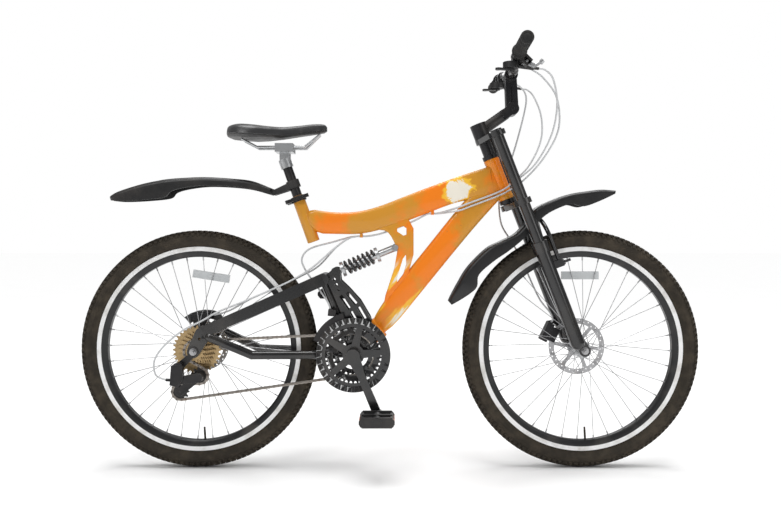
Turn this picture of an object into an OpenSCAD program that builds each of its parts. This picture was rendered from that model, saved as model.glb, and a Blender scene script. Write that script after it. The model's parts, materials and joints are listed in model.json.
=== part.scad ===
// Full-suspension mountain bike with disc brakes, a double-crown fork and two mudguards.
// X points forward, Y to the rider's left and Z up. The origin is on the ground, midway
// between the two axles.

/* [Wheels] */
// Outer diameter of both tyres
tyre_d = 664; // [620:1:760]
// Width of the tyres
tyre_w = 52; // [44:1:62]
// Outer diameter of the rims, over the flanges
rim_d = 572; // [540:1:590]
// Depth of the rim, from the flange to the spoke bed
rim_depth = 29; // [22:1:36]
// Width of the rims
rim_w = 27; // [24:1:34]
// Spokes in each wheel
spoke_count = 36; // [36]
// Diameter of a spoke
spoke_d = 2; // [1.6:0.1:2.4]
// Diameter of the front brake disc
front_rotor_d = 160; // [140:1:190]
// Diameter of the rear brake disc
rear_rotor_d = 140; // [130:1:160]
// Distance between the front dropouts
front_old = 100; // [98:1:112]
// Distance between the rear dropouts
rear_old = 135; // [133:1:150]
// Diameter of the axles
axle_d = 9.5; // [8:0.5:12]

/* [Layout] */
// Chainstay length, from the bottom bracket to the rear axle
chainstay = 435; // [405:1:470]
// Height of the rear axle above the bottom bracket
bb_drop = 11; // [0:1:30]
// Forward distance from the bottom bracket to the foot of the head tube
reach = 428.6; // [400:0.1:480]
// Lean of the steering axis from the vertical, in degrees
head_lean = 21; // [18:0.5:24]
// Lean of the seat post from the vertical, in degrees
seat_lean = 19.6; // [15:0.1:24]

/* [Frame] */
// Width of the top tube and the down tube
tube_w = 38; // [32:1:44]
// Wall of the frame tubes
tube_wall = 2; // [1.2:0.1:3]
// Length of the head tube
head_l = 121; // [100:1:150]
// Outer diameter of the head tube
head_d = 44; // [38:1:50]
// Diameter of the seat post
post_d = 27.2; // [25.4:0.2:31.6]
// Length of the seat post
post_l = 218; // [200:1:300]
// Outer diameter of the seat tube
seat_tube_d = 35; // [33:0.5:40]
// Length of the seat tube
seat_tube_l = 136; // [130:1:160]
// Diameter of the main pivot axle
pivot_d = 15; // [12:0.5:18]

/* [Fork] */
// Length along the steering axis from the head tube to the axle
fork_l = 465.3; // [440:0.1:560]
// Forward offset of the axle from the steering axis
rake = 42.9; // [36:0.1:50]
// Forward offset of the fork legs from the steering axis
leg_offset = 30; // [26:1:34]
// Distance between the fork legs, centre to centre
leg_gap = 130; // [120:1:150]
// Diameter of the stanchions
stanchion_d = 32; // [28:0.5:36]
// Diameter of the lower legs
leg_d = 39; // [36:0.5:44]
// Steerer diameter
steerer_d = 28.6; // [25.4:0.1:31.8]
// Suspension travel of the fork
fork_travel = 40; // [30:1:44]

/* [Cockpit] */
// Length of the handlebar
bar_l = 606; // [560:1:720]
// Diameter of the handlebar
bar_d = 25.4; // [22.2:0.1:31.8]
// Length of a grip
grip_l = 128; // [90:1:140]
// Diameter of a grip
grip_d = 34; // [30:0.5:38]
// Length of the lower arm of the stem
stem_l = 108; // [80:1:130]
// Rise of the lower arm of the stem above the level, in degrees
stem_rise = 35; // [10:1:50]

/* [Drivetrain] */
// Length of the cranks, from axis to axis
crank_l = 170; // [150:1:180]
// Angle of the right crank ahead of straight down, in degrees
crank_angle = 23; // [0:1:360]
// Teeth of the large chainring
ring_big = 48; // [44:1:50]
// Teeth of the middle chainring
ring_mid = 38; // [34:1:40]
// Teeth of the small chainring
ring_small = 28; // [24:1:30]
// Distance of the middle chainring from the centre plane
chainline = 51; // [50:0.5:54]
// Teeth of the two pulleys
pulley_teeth = 11; // [11]
// Length of a pedal, fore and aft
pedal_l = 93; // [80:1:110]
// Width of a pedal
pedal_w = 90; // [80:1:105]
// Thickness of a pedal
pedal_t = 27; // [20:1:32]

/* [Saddle] */
// Length of the saddle
saddle_l = 278; // [250:1:300]
// Width of the saddle at the back
saddle_w = 158; // [140:1:190]

/* [Hidden] */
$fn = 48;

run = 0.05;                          // radial clearance of a running fit
slip = 0.3;                          // gap between pieces on different bodies
seat = 0.05;                         // gap between pieces bolted together
pitch = 12.7;                        // chain pitch

tyre_r = tyre_d / 2;
rim_r = rim_d / 2;
bed_r = rim_r - rim_depth;
axle_r = axle_d / 2;
sin_h = sin(head_lean);
cos_h = cos(head_lean);
stay_x = sqrt(chainstay * chainstay - bb_drop * bb_drop);
wheelbase = stay_x + reach + rake * cos_h + fork_l * sin_h;
rear_x = -wheelbase / 2;
front_x = wheelbase / 2;
bb = [rear_x + stay_x, tyre_r - bb_drop];
pivot = bb + [42, 34];
head = [bb[0] + reach, tyre_r - rake * sin_h + fork_l * cos_h];
BLACK = [0.07, 0.07, 0.08];
ORANGE = [0.95, 0.46, 0.05];
SILVER = [0.75, 0.76, 0.78];
GREY = [0.42, 0.43, 0.45];
RUBBER = [0.09, 0.09, 0.09];
BRONZE = [0.62, 0.45, 0.26];
CABLE = [0.78, 0.79, 0.8];

// ---------------------------------------------------------------- helpers
// Turns a shape drawn along Z so that it lies along Y, at x, z
module along_y(x = 0, z = 0) translate([x, 0, z]) rotate([-90, 0, 0]) children();
// A cylinder along Y between two y values
module rod_y(p, y0, y1, r, fn = 48)
    translate([p[0], min(y0, y1), p[1]]) rotate([-90, 0, 0])
        cylinder(r = r, h = abs(y1 - y0), $fn = fn);
// A cylinder between two points in space
module rod(a, b, r, fn = 48) {
    d = b - a;
    translate(a) rotate([0, acos(d[2] / norm(d)), atan2(d[1], d[0])])
        cylinder(r = r, h = norm(d), $fn = fn);
}
// A plate drawn in X and Z, between two y values
module plate(y0, y1)
    translate([0, max(y0, y1), 0]) rotate([90, 0, 0]) linear_extrude(abs(y1 - y0)) children();
// A mirrored pair about the centre plane
module pair() {
    children();
    mirror([0, 1, 0]) children();
}
// Places a shape in the steering frame: X ahead of the axis, Z up along it
module steering() translate([head[0], 0, head[1]]) rotate([0, -head_lean, 0]) children();
// A point of the main frame, given from the pivot and scaled with the frame
frame_kx = (head[0] - pivot[0]) / 386.6;
frame_kz = (head[1] - pivot[1]) / 396;
function frame_pt(x, z) = [pivot[0] + x * frame_kx, pivot[1] + z * frame_kz];
function frame_pts(list) = [for (p = list) frame_pt(p[0], p[1])];
// A point of the swingarm, given from the rear axle and scaled with the chainstay
stay_k = stay_x / 434.86;
function stay_pt(x, z) = [rear_x + x * stay_k, tyre_r + z];
function at_y(p, y) = [p[0], y, p[1]];
function unit(v) = v / norm(v);
function lerp(a, b, k) = a + (b - a) * k;

// Frames carried along a path without twist
function carried(ts, u, i = 0) = i >= len(ts) ? [] :
    let (w = u - (u * ts[i]) * ts[i], n = unit(w)) concat([n], carried(ts, n, i + 1));
function tangents(p, loop) = [for (i = [0:len(p) - 1]) let (
    a = loop ? p[(i + len(p) - 1) % len(p)] : p[max(i - 1, 0)],
    b = loop ? p[(i + 1) % len(p)] : p[min(i + 1, len(p) - 1)]) unit(b - a)];
// Sweeps a closed section [u, v] along a path; u starts along the given direction
module sweep(path, section, u, loop = false) {
    ts = tangents(path, loop);
    us = carried(ts, unit(u));
    n = len(section);
    rings = len(path);
    pts = [for (i = [0:rings - 1], s = section)
        path[i] + s[0] * us[i] + s[1] * cross(ts[i], us[i])];
    last = loop ? rings - 1 : rings - 2;
    sides = [for (i = [0:last], j = [0:n - 1]) let (a = i * n, b = ((i + 1) % rings) * n,
        k = (j + 1) % n) each [[a + j, a + k, b + k], [a + j, b + k, b + j]]];
    caps = loop ? [] : [[for (j = [n - 1:-1:0]) j], [for (j = [0:n - 1]) (rings - 1) * n + j]];
    polyhedron(points = pts, faces = [for (f = concat(sides, caps)) [for (k = [len(f) - 1:-1:0]) f[k]]]);
}
function ring_of(r, n) = [for (i = [0:n - 1]) r * [cos(360 * i / n), sin(360 * i / n)]];
// A smooth curve through hand-chosen points, with k steps between two of them
function smooth(p, k) = concat([for (i = [0:len(p) - 2], j = [0:k - 1]) let (t = j / k,
    a = p[max(i - 1, 0)], b = p[i], c = p[i + 1], d = p[min(i + 2, len(p) - 1)])
    0.5 * (2 * b + (c - a) * t + (2 * a - 5 * b + 4 * c - d) * t * t
    + (3 * b - a - 3 * c + d) * t * t * t)], [p[len(p) - 1]]);
module cable(points, u = [0, 1, 0], k = 4) sweep(smooth(points, k), ring_of(cable_r, 8), u);
cable_r = 2.5;

// ---------------------------------------------------------------- wheels
wheel_turn = -3.3;                   // turns the valve just ahead of the lowest point
rim_wall = 2;
bed_wall = 3;
bead_h = 9;
tread = 6;
sidewall = 3;
tube_wall_t = 1.5;
valve_r = 3;
valve_l = 35;
nipple_r = 2;
hole_r = nipple_r + 0.3;
cross_angle = 60;                    // the spokes cross three times
hub_hole_r = 20.5;
flange_r = 24;
flange_t = 3;
hub_r = 12;
bearing_r = 10;
bearing_w = 10;
rotor_t = 2;
rotor_bolt_r = 22;
rotor_seat_r = 27;
rotor_track = 15;
neck_r = 17;                         // clears the spokes' heads inside the disc's seat
front_flange = [-30, 27];            // Y of the flanges, right and left
rear_flange = [-21, 34];
front_rotor_y = front_old / 2 - 12;
rear_rotor_y = rear_old / 2 - 16;
module wheel_at(x) along_y(x, tyre_r) rotate([0, 0, wheel_turn]) children();

tyre_mid = (rim_r + tyre_r) / 2;
function arc_section(shrink_r, shrink_y, from, to, steps) = [for (i = [0:steps])
    let (a = from + (to - from) * i / steps)
    [tyre_mid + (tyre_r - tyre_mid - shrink_r) * cos(a), (tyre_w / 2 - shrink_y) * sin(a)]];
bead_y = rim_w / 2 - rim_wall - 0.3;
module tyre(x) color(RUBBER) wheel_at(x) {
    bead = [[rim_r + 1, bead_y], [rim_r - bead_h, bead_y],
        [rim_r - bead_h, bead_y - sidewall], [rim_r + 3, bead_y - sidewall]];
    far_bead = [for (i = [3:-1:0]) [bead[i][0], -bead[i][1]]];
    rotate_extrude($fn = 120) polygon(concat(arc_section(0, 0, -125, 125, 24), bead,
        arc_section(tread, sidewall, 120, -120, 24), far_bead));
}
// The inner tube, with its valve through the rim
module inner_tube(x) color(RUBBER) wheel_at(x) difference() {
    union() {
        rotate_extrude($fn = 120)
            polygon(arc_section(tread + slip, sidewall + slip, -170, 170, 20));
        translate([0, bed_r - valve_l, 0]) rotate([-90, 0, 0])
            cylinder(r = valve_r, h = valve_l + rim_depth + 8, $fn = 24);
    }
    rotate_extrude($fn = 120) polygon(arc_section(tread + slip + tube_wall_t,
        sidewall + slip + tube_wall_t, -165, 165, 20));
}

module rim(x) color(BLACK) wheel_at(x) difference() {
    half = rim_w / 2;
    floor_r = rim_r - bead_h - 1.5;
    rotate_extrude($fn = 120) polygon([[bed_r, -half + 5.5], [bed_r + 6, -half + 1],
        [bed_r + 18, -half], [rim_r, -half], [rim_r, -half + rim_wall],
        [floor_r, -half + rim_wall], [floor_r, half - rim_wall], [rim_r, half - rim_wall],
        [rim_r, half], [bed_r + 18, half], [bed_r + 6, half - 1], [bed_r, half - 5.5]]);
    rotate_extrude($fn = 120) polygon([[bed_r + bed_wall, -half + 7],
        [bed_r + 7.5, -half + 3], [floor_r - rim_wall, -half + 2.6],
        [floor_r - rim_wall, half - 2.6], [bed_r + 7.5, half - 3], [bed_r + bed_wall, half - 7]]);
    translate([0, bed_r - 5, 0]) rotate([-90, 0, 0])
        cylinder(r = valve_r + 0.3, h = rim_depth, $fn = 24);
    for (i = [0:spoke_count - 1]) {
        s = spoke_ends(i, [-30, 30]);
        d = unit(s[1] - s[0]);
        rod(s[1] - 7 * d, s[1] + 2 * d, hole_r, 24);
    }
}

// Hub end and rim end of spoke i, with Z along the axle; even spokes are on the left
function spoke_ends(i, flange) = let (left = i % 2, lead = floor(i / 2) % 2,
    a = 360 * (i + 0.5) / spoke_count, h = a + (lead == 1 ? cross_angle : -cross_angle),
    side = left == 1 ? 1 : -1, y = flange[left] + side * (lead == 1 ? outer_step : -spoke_step))
    [[hub_hole_r * cos(h), hub_hole_r * sin(h), y],
        [(bed_r + 4) * cos(a), (bed_r + 4) * sin(a), side * 3]];
spoke_step = flange_t / 2 + spoke_d / 2 + seat;
outer_step = spoke_step + 1.5;       // an outer spoke clears the flange's edge as it leans in
module spokes(x, flange) color(SILVER) wheel_at(x) for (i = [0:spoke_count - 1]) {
    s = spoke_ends(i, flange);
    d = unit(s[1] - s[0]);
    away = s[0][2] > flange[i % 2] ? 1 : -1;
    head_y = flange[i % 2] - away * (flange_t / 2 + seat);
    rod(s[0] - d, s[1] - 2 * d, spoke_d / 2, 24);
    rod(s[0], [s[0][0], s[0][1], head_y - away * 0.5], spoke_d / 2 + 0.1, 24);
    rod([s[0][0], s[0][1], head_y], [s[0][0], s[0][1], head_y - away * 1.1],
        spoke_d / 2 + 0.8, 24);
    rod(s[1] - 14 * d, s[1], nipple_r, 24);
}

// A hub with both flanges, its bearings and the seat of the brake disc
module hub(x, flange, ends, rotor_y, boss = 0) color(GREY) wheel_at(x) {
    difference() {
        union() {
            translate([0, 0, ends[0]]) cylinder(r = hub_r + 1, h = ends[1] - ends[0]);
            if (boss > 0) translate([0, 0, ends[0]])
                cylinder(r = boss, h = flange[0] - ends[0]);
            for (y = flange) translate([0, 0, y - flange_t / 2])
                cylinder(r = flange_r, h = flange_t);
            translate([0, 0, flange[1]]) cylinder(r = neck_r, h = rotor_y - 1 - flange[1]);
            translate([0, 0, rotor_y - 5]) cylinder(r = rotor_seat_r - 1, h = 4);
        }
        translate([0, 0, ends[0] - 1])
            cylinder(r = bearing_r + seat, h = ends[1] - ends[0] + 2);
        for (i = [0:spoke_count - 1]) {
            s = spoke_ends(i, flange);
            translate([s[0][0], s[0][1], flange[i % 2] - flange_t])
                cylinder(r = spoke_d / 2 + 0.3, h = 2 * flange_t, $fn = 24);
        }
        for (i = [0:5]) rotate([0, 0, 60 * i]) translate([rotor_bolt_r, 0, rotor_y - 10])
            cylinder(r = 2.6, h = 12, $fn = 24);
    }
    for (y = [ends[0], ends[1] - bearing_w]) translate([0, 0, y]) difference() {
        cylinder(r = bearing_r, h = bearing_w);
        translate([0, 0, -1]) cylinder(r = axle_r + run, h = bearing_w + 2);
    }
}

module rotor(x, y, d) color(SILVER) wheel_at(x) translate([0, 0, y - 1]) {
    r = d / 2;
    linear_extrude(rotor_t) difference() {
        union() {
            difference() {
                circle(r = r, $fn = 96);
                circle(r = r - rotor_track, $fn = 96);
            }
            circle(r = rotor_seat_r, $fn = 64);
            for (i = [0:5]) rotate([0, 0, 60 * i]) polygon([[12, -5], [12, 5],
                [r - rotor_track + 2, 18], [r - rotor_track + 4, 8]]);
        }
        circle(r = hub_r + 4);
        for (i = [0:5]) rotate([0, 0, 60 * i]) translate([rotor_bolt_r, 0])
            circle(r = 2.55, $fn = 24);
        for (i = [0:35]) rotate([0, 0, 10 * i])
            translate([r - (i % 2 == 0 ? 4.5 : 10), 0]) circle(r = 2, $fn = 24);
    }
    for (i = [0:5]) rotate([0, 0, 60 * i]) translate([rotor_bolt_r, 0, 0]) {
        translate([0, 0, -4]) cylinder(r = 2.5, h = 6.5, $fn = 24);
        translate([0, 0, rotor_t + seat]) cylinder(r = 4, h = 1.8, $fn = 24);
    }
}

// A clip-on reflector held between the two planes of spokes
reflector_r = 205;
reflector_l = 104;
reflector_h = 22;
module reflector(x, flange, turn) color([0.9, 0.9, 0.88]) along_y(x, tyre_r) {
    near = min(-flange[0], flange[1]) - spoke_step;
    reach_k = (reflector_r + reflector_h / 2) / bed_r;
    half = near + (3 - near) * reach_k - spoke_d / 2 - slip;
    rotate([0, 0, turn]) translate([-reflector_l / 2, -reflector_r - reflector_h / 2, -half])
        cube([reflector_l, reflector_h, 2 * half]);
}

front_hub_ends = [-front_old / 2 + 5, front_old / 2 - 5];
rear_hub_ends = [-rear_old / 2 + 4.5, rear_old / 2 - 6];
boss_r = 16;                         // the rear hub's boss for the freewheel
module front_tyre() tyre(front_x);
module front_tube() inner_tube(front_x);
module front_rim() rim(front_x);
module front_spokes() spokes(front_x, front_flange);
module front_hub() hub(front_x, front_flange, front_hub_ends, front_rotor_y);
module front_rotor() rotor(front_x, front_rotor_y, front_rotor_d);
module front_reflector() reflector(front_x, front_flange, 0);
module rear_tyre() tyre(rear_x);
module rear_tube() inner_tube(rear_x);
module rear_rim() rim(rear_x);
module rear_spokes() spokes(rear_x, rear_flange);
module rear_rotor() rotor(rear_x, rear_rotor_y, rear_rotor_d);
module rear_reflector() reflector(rear_x, rear_flange, 9);

module rear_hub() hub(rear_x, rear_flange, rear_hub_ends, rear_rotor_y, boss_r);

// ---------------------------------------------------------------- drivetrain
function pitch_r(n) = pitch / (2 * sin(180 / n));
tooth_t = 2;
tooth_tip = 2.6;
tooth_root = 4;
cog_teeth = [14, 16, 18, 20, 22, 24, 32];
cog_step = 5;
cog_y = -rear_old / 2 + 5.5;         // centre of the smallest cog
free_r = 22;
ring_y = [-chainline - 7, -chainline, -chainline + 7];
// Outline of a toothed ring
function toothed(n) = [for (i = [0:n - 1], k = [-0.34, -0.13, 0.13, 0.34]) let (
    a = 360 * (i + k) / n, r = pitch_r(n) + (abs(k) < 0.2 ? tooth_tip : -tooth_root))
    r * [cos(a), sin(a)]];
module toothed_ring(n, inner_r, y) translate([0, y - tooth_t / 2, 0]) rotate([-90, 0, 0])
    linear_extrude(tooth_t) difference() {
        polygon(toothed(n));
        circle(r = inner_r, $fn = 64);
    }

module sprockets() color(BRONZE) translate([rear_x, 0, tyre_r]) {
    back = cog_y + 6 * cog_step + tooth_t;
    front = cog_y - tooth_t;
    difference() {
        union() {
            rod_y([0, 0], front, back, free_r);
            for (i = [0:6]) toothed_ring(cog_teeth[i], boss_r + 2, cog_y + i * cog_step);
        }
        rod_y([0, 0], front - 1, back + 1, boss_r + run);
    }
}

guide = [rear_x + 15 * stay_k, tyre_r - 67];
tension = [rear_x - 38 * stay_k, tyre_r - 110];
pulley_hub = 4.8;
pulley_bolt_r = 2.5;
module pulley(p) color(BLACK) difference() {
    union() {
        translate([p[0], 0, p[1]]) toothed_ring(pulley_teeth, 6, cog_y);
        rod_y(p, cog_y - pulley_hub, cog_y + pulley_hub, 8);
    }
    rod_y(p, cog_y - 9, cog_y + 9, pulley_bolt_r + run);
}
module guide_pulley() pulley(guide);
module tension_pulley() pulley(tension);

// The chain runs round four wheels: [centre, pitch radius, turn, Y]
chain_wheels = [[bb, pitch_r(ring_small), 1, ring_y[2]],
    [[rear_x, tyre_r], pitch_r(cog_teeth[0]), 1, cog_y],
    [guide, pitch_r(pulley_teeth), -1, cog_y], [tension, pitch_r(pulley_teeth), 1, cog_y]];
// Heading of the straight run from wheel a to wheel b
function heading(a, b) = let (d = b[0] - a[0])
    atan2(d[1], d[0]) + asin((a[2] * a[1] - b[2] * b[1]) / norm(d));
function rim_point(w, h, y) = [w[0][0] + w[2] * w[1] * sin(h), y, w[0][1] - w[2] * w[1] * cos(h)];
function run_heading(i) = heading(chain_wheels[i % 4], chain_wheels[(i + 1) % 4]);
function forward(h) = [cos(h), 0, sin(h)];
lead_in = 32;                        // straight stretch level with a wheel
function wrap(i) = let (w = chain_wheels[i], a = run_heading(i + 3), b = run_heading(i),
    turn = w[2] > 0 ? (b - a + 720) % 360 : -((a - b + 720) % 360), n = ceil(abs(turn) / 18))
    [for (k = [0:n]) rim_point(w, a + turn * k / n, w[3])];
function after(i) = rim_point(chain_wheels[i], run_heading(i), chain_wheels[i][3])
    + lead_in * forward(run_heading(i));
function before(i) = rim_point(chain_wheels[i], run_heading(i + 3), chain_wheels[i][3])
    - lead_in * forward(run_heading(i + 3));
chain_path = concat(wrap(0), [after(0), before(1)], wrap(1), wrap(2), wrap(3),
    [after(3), before(0)]);
link_h = 4.2;
link_gap = 1.7;
link_w = 3.3;
module chain() color(GREY) {
    for (s = [-1, 1]) sweep(chain_path, [[s * link_gap, -s * link_h], [s * link_w, -s * link_h],
        [s * link_w, s * link_h], [s * link_gap, s * link_h]], [0, 1, 0], true);
    for (i = [0, 3]) {
        a = after(i);
        b = before((i + 1) % 4);
        sweep([a, b], [[-link_gap, -3.5], [link_gap, -3.5], [link_gap, 3.5], [-link_gap, 3.5]],
            [0, 1, 0]);
    }
}

spindle_r = 8.5;
arm_t = 16;
arm_in = chainline + 17;             // inner face of the crank arms
arm_out = arm_in + arm_t;
spider_y = ring_y[0] + tooth_t / 2;  // face that the large ring is riveted to
spider_t = 5;
guard_r = 102;
eye_r = 14;
pedal_axle_r = 5;
pedal_in = arm_out + 12;             // inner end of the pedals
module crank_at(turn) translate([bb[0], 0, bb[1]]) rotate([0, turn - crank_angle, 0]) children();
module crank_outline() {
    circle(r = 19);
    translate([0, -crank_l]) circle(r = eye_r);
    polygon([[-17, -8], [-10.5, -60], [-12, -crank_l], [12, -crank_l], [10.5, -60], [17, -8]]);
}
module crank_arms() color(BLACK) {
    crank_at(0) {
        plate(-arm_out, -arm_in) crank_outline();
        rod_y([0, 0], -arm_in, spider_y, 19);
        plate(spider_y, spider_y + spider_t) difference() {
            union() {
                circle(r = 30);
                for (i = [0:4]) rotate([0, 0, 72 * i + 54]) polygon([[0, -13], [0, 13],
                    [pitch_r(ring_big) - 18, 8], [pitch_r(ring_big) - 18, -8]]);
            }
            circle(r = spindle_r - 1);
        }
    }
    rod_y(bb, -arm_in, arm_in, spindle_r);
    crank_at(180) plate(arm_in, arm_out) crank_outline();
    for (s = [-1, 1]) {
        p = bb + s * crank_l * [-sin(crank_angle), cos(crank_angle)];
        rod_y(p, s * arm_out, s * (pedal_in - slip), 8);
        rod_y(p, s * (pedal_in - slip), s * (pedal_in + pedal_w - 8), pedal_axle_r);
    }
}
module chainrings() color(BLACK) crank_at(0) {
    small_in = pitch_r(ring_small) - 16;
    toothed_ring(ring_big, pitch_r(ring_big) - 20, ring_y[0]);
    toothed_ring(ring_mid, pitch_r(ring_mid) - 20, ring_y[1]);
    toothed_ring(ring_small, small_in, ring_y[2]);
    plate(ring_y[0] - tooth_t / 2 - 4, ring_y[0] - tooth_t / 2) difference() {
        circle(r = guard_r, $fn = 96);
        circle(r = guard_r - 15, $fn = 96);
    }
    for (i = [0:4]) rotate([0, 72 * i + 18, 0]) {
        rod_y([0, pitch_r(ring_small) - 9], ring_y[1], ring_y[2], 4);
        plate(ring_y[1] - tooth_t / 2, ring_y[1] + tooth_t / 2) translate([0, 45])
            polygon([[-7, 0], [7, 0], [5, 15], [-5, 15]]);
    }
}

module pedal(s) color(BLACK) {
    c = bb + s * crank_l * [-sin(crank_angle), cos(crank_angle)];
    y0 = s * pedal_in;
    y1 = s * (pedal_in + pedal_w);
    half = pedal_l / 2;
    difference() {
        union() {
            rod_y(c, y0, y1, 12);
            plate(y0, y1) translate(c) difference() {
                square([pedal_l - 6, pedal_t - 7], center = true);
                square([pedal_l - 22, pedal_t], center = true);
            }
            for (y = [y0, y1 - s * 9, (y0 + y1) / 2 - s * 3]) plate(y, y + s * 7) translate(c)
                polygon([[-half, -4], [-half + 8, -pedal_t / 2], [half - 8, -pedal_t / 2],
                    [half, -4], [half, 4], [half - 8, pedal_t / 2], [-half + 8, pedal_t / 2],
                    [-half, 4]]);
        }
        rod_y(c, y0 - s, y0 + s * (pedal_w - 7), pedal_axle_r + run);
    }
}
module pedal_right() pedal(-1);
module pedal_left() pedal(1);

// ---------------------------------------------------------------- main frame
seat_top = frame_pt(-202, 405);
post_r = post_d / 2;
post_in = 114;                       // length of the post inside the seat tube
seat_r = seat_tube_d / 2;
cup_h = 12;
cup_in = 10;
cup_r = 17;
steerer_r = steerer_d / 2;
shock_front = frame_pt(74.1, 260.5);
shock_rear = pivot + [-92.2, 192];
shock_w = 22;
shock_bolt_r = 4;
lug_w = 44;
guide_y = [-9, 0, 9];
module along_post(s) translate([seat_top[0], 0, seat_top[1]]) rotate([0, -seat_lean, 0])
    translate([0, 0, s]) children();
module frame_shape(list) plate(-tube_w / 2, tube_w / 2) polygon(frame_pts(list));
TOP_TUBE = [[-183, 371], [-102, 359], [-37, 359], [28, 375], [114, 410], [222, 451],
    [330, 487], [348, 490], [378, 408], [265, 393], [222, 380], [123, 341], [49, 315],
    [-20, 298], [-80, 298], [-160, 300]];
DOWN_TUBE = [[378, 410], [340, 450], [265, 390], [127, 216], [62, 138.5], [10, 61],
    [2, 20], [49, 15], [153, 143], [282, 302], [368, 404]];
GUSSET = [[18, 311], [49, 308], [66, 286], [84, 242], [32, 84], [64, 132], [124.5, 205],
    [124.5, 350], [60, 325]];
module frame_guide(p) difference() {
    translate([p[0], 0, p[1]]) cube([8, 26, 11], center = true);
    for (y = guide_y) translate([p[0], y, p[1] - 2]) rotate([0, 90, 0])
        cylinder(r = cable_r + 0.2, h = 20, center = true, $fn = 24);
}
module main_frame() color(ORANGE) difference() {
    union() {
        for (shape = [TOP_TUBE, DOWN_TUBE]) difference() {
            frame_shape(shape);
            plate(tube_wall - tube_w / 2, tube_w / 2 - tube_wall) offset(delta = -tube_wall)
                polygon(frame_pts(shape));
        }
        for (s = [-1, 1]) plate(s * 13, s * 18) difference() {
            polygon(frame_pts(GUSSET));
            polygon(frame_pts([[70, 311], [105, 324], [105, 288]]));
            polygon(frame_pts([[103, 256], [105, 198], [70, 150]]));
        }
        plate(-lug_w / 2, lug_w / 2) {
            translate(pivot) circle(r = 18);
            polygon([pivot + [-16, -8], pivot + [0, -18], frame_pt(49, 15), frame_pt(10, 61)]);
        }
        steering() cylinder(r = head_d / 2, h = head_l, $fn = 64);
        along_post(-seat_tube_l) cylinder(r = seat_r, h = seat_tube_l, $fn = 64);
        frame_guide(frame_pt(178, 358));
        frame_guide(frame_pt(-22, 294));
    }
    steering() translate([0, 0, -1]) cylinder(r = cup_r + seat, h = head_l + 2, $fn = 64);
    along_post(-seat_tube_l - 1) cylinder(r = post_r + run, h = seat_tube_l + 2, $fn = 64);
    rod_y(pivot, -lug_w, lug_w, pivot_d / 2 + seat);
    rod_y(shock_front, -30, 30, shock_bolt_r + seat);
    translate([shock_front[0], 0, shock_front[1]]) rotate([0, -22.4, 0]) {
        rod_y([0, 0], -shock_w / 2 - slip, shock_w / 2 + slip, 14);
        translate([-40, 0, 0]) cube([80, shock_w + 2 * slip, 28], center = true);
    }
}

module headset_cups() color(BLACK) steering() for (top = [0, 1])
    translate([0, 0, top * head_l]) mirror([0, 0, top]) difference() {
        union() {
            translate([0, 0, -cup_h]) cylinder(r = head_d / 2, h = cup_h - seat);
            translate([0, 0, -1]) cylinder(r = cup_r, h = cup_in + 1);
        }
        translate([0, 0, -cup_h - 1]) cylinder(r = steerer_r + run, h = cup_h + cup_in + 2);
    }

collar_h = 15;
collar_t = 4;
skewer_x = -(seat_r + collar_t + 6);
skewer_r = 3;
module seat_collar() color(BLACK) along_post(-collar_h - 1) {
    difference() {
        union() {
            cylinder(r = seat_r + collar_t, h = collar_h, $fn = 64);
            translate([skewer_x - 6, -11, 1]) cube([14, 22, collar_h - 2]);
        }
        translate([0, 0, -1]) cylinder(r = seat_r + seat, h = collar_h + 2, $fn = 64);
        translate([skewer_x - 9, -1.5, -1]) cube([20, 3, collar_h + 2]);
    }
    translate([skewer_x, 0, collar_h / 2]) rod_y([0, 0], -12, 17, skewer_r);
    translate([skewer_x, 0, collar_h / 2]) rod_y([0, 0], 11, 16, 6);
}
lever_y = -21;
module seat_lever() color(BLACK) along_post(-collar_h / 2 - 1) translate([skewer_x, lever_y, 0]) {
    difference() {
        union() {
            translate([0, 0, -5]) cylinder(r = -lever_y - 12 - slip, h = 10);
            translate([0, -8, -4]) cube([26, 5, 8]);
            translate([24, -9, -5]) cube([36, 6, 10]);
        }
        translate([46, 0, 0]) rod_y([0, 0], -12, 0, 2.5, 24);
    }
}

// The main pivot axle and the front bolt of the shock, each with a head and a nut
module bolt_y(p, half, r, head_r, head_t) {
    rod_y(p, -half - head_t, half + head_t, r);
    rod_y(p, -half - head_t, -half - seat, head_r);
    rod_y(p, half + seat, half + head_t, head_r, 6);
}
plate_in = lug_w / 2 + slip;         // inner face of the swingarm's pivot plates
plate_t = 6;
module suspension_bolts() color(GREY) {
    bolt_y(pivot, plate_in + plate_t + slip, pivot_d / 2, pivot_d / 2 + 4, 6);
    bolt_y(shock_front, 18, shock_bolt_r, 7.5, 5);
}

// ---------------------------------------------------------------- shock
shock_line = unit(shock_front - shock_rear);
shock_tilt = atan2(shock_line[1], shock_line[0]);
shock_l = norm(shock_front - shock_rear);
shock_eye_r = 11;
shaft_r = 6;
damper_r = 10;
coil_r = 21.5;
coil_from = 24;                      // stretch of the coil, from the rear eye
coil_to = 120;
module shock_at() translate([shock_rear[0], 0, shock_rear[1]]) rotate([0, -shock_tilt, 0]) children();
module along_shock(x0, x1, r) translate([x0, 0, 0]) rotate([0, 90, 0])
    cylinder(r = r, h = x1 - x0);
module shock_body() color(SILVER) shock_at() difference() {
    union() {
        rod_y([shock_l, 0], -shock_w / 2, shock_w / 2, shock_eye_r);
        along_shock(62, shock_l - 6, damper_r);
        along_shock(coil_to + slip, coil_to + 9, coil_r);
    }
    rod_y([shock_l, 0], -shock_w, shock_w, shock_bolt_r + run);
    along_shock(60, coil_to + 30, shaft_r + run);
}
module shock_shaft() color(SILVER) shock_at() difference() {
    union() {
        rod_y([0, 0], -shock_w / 2, shock_w / 2, shock_eye_r);
        along_shock(6, coil_to - 4, shaft_r);
        along_shock(coil_from - 8, coil_from - slip, coil_r);
    }
    rod_y([0, 0], -shock_w, shock_w, shock_bolt_r + 0.8);
}
coil_turns = 6.5;
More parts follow.
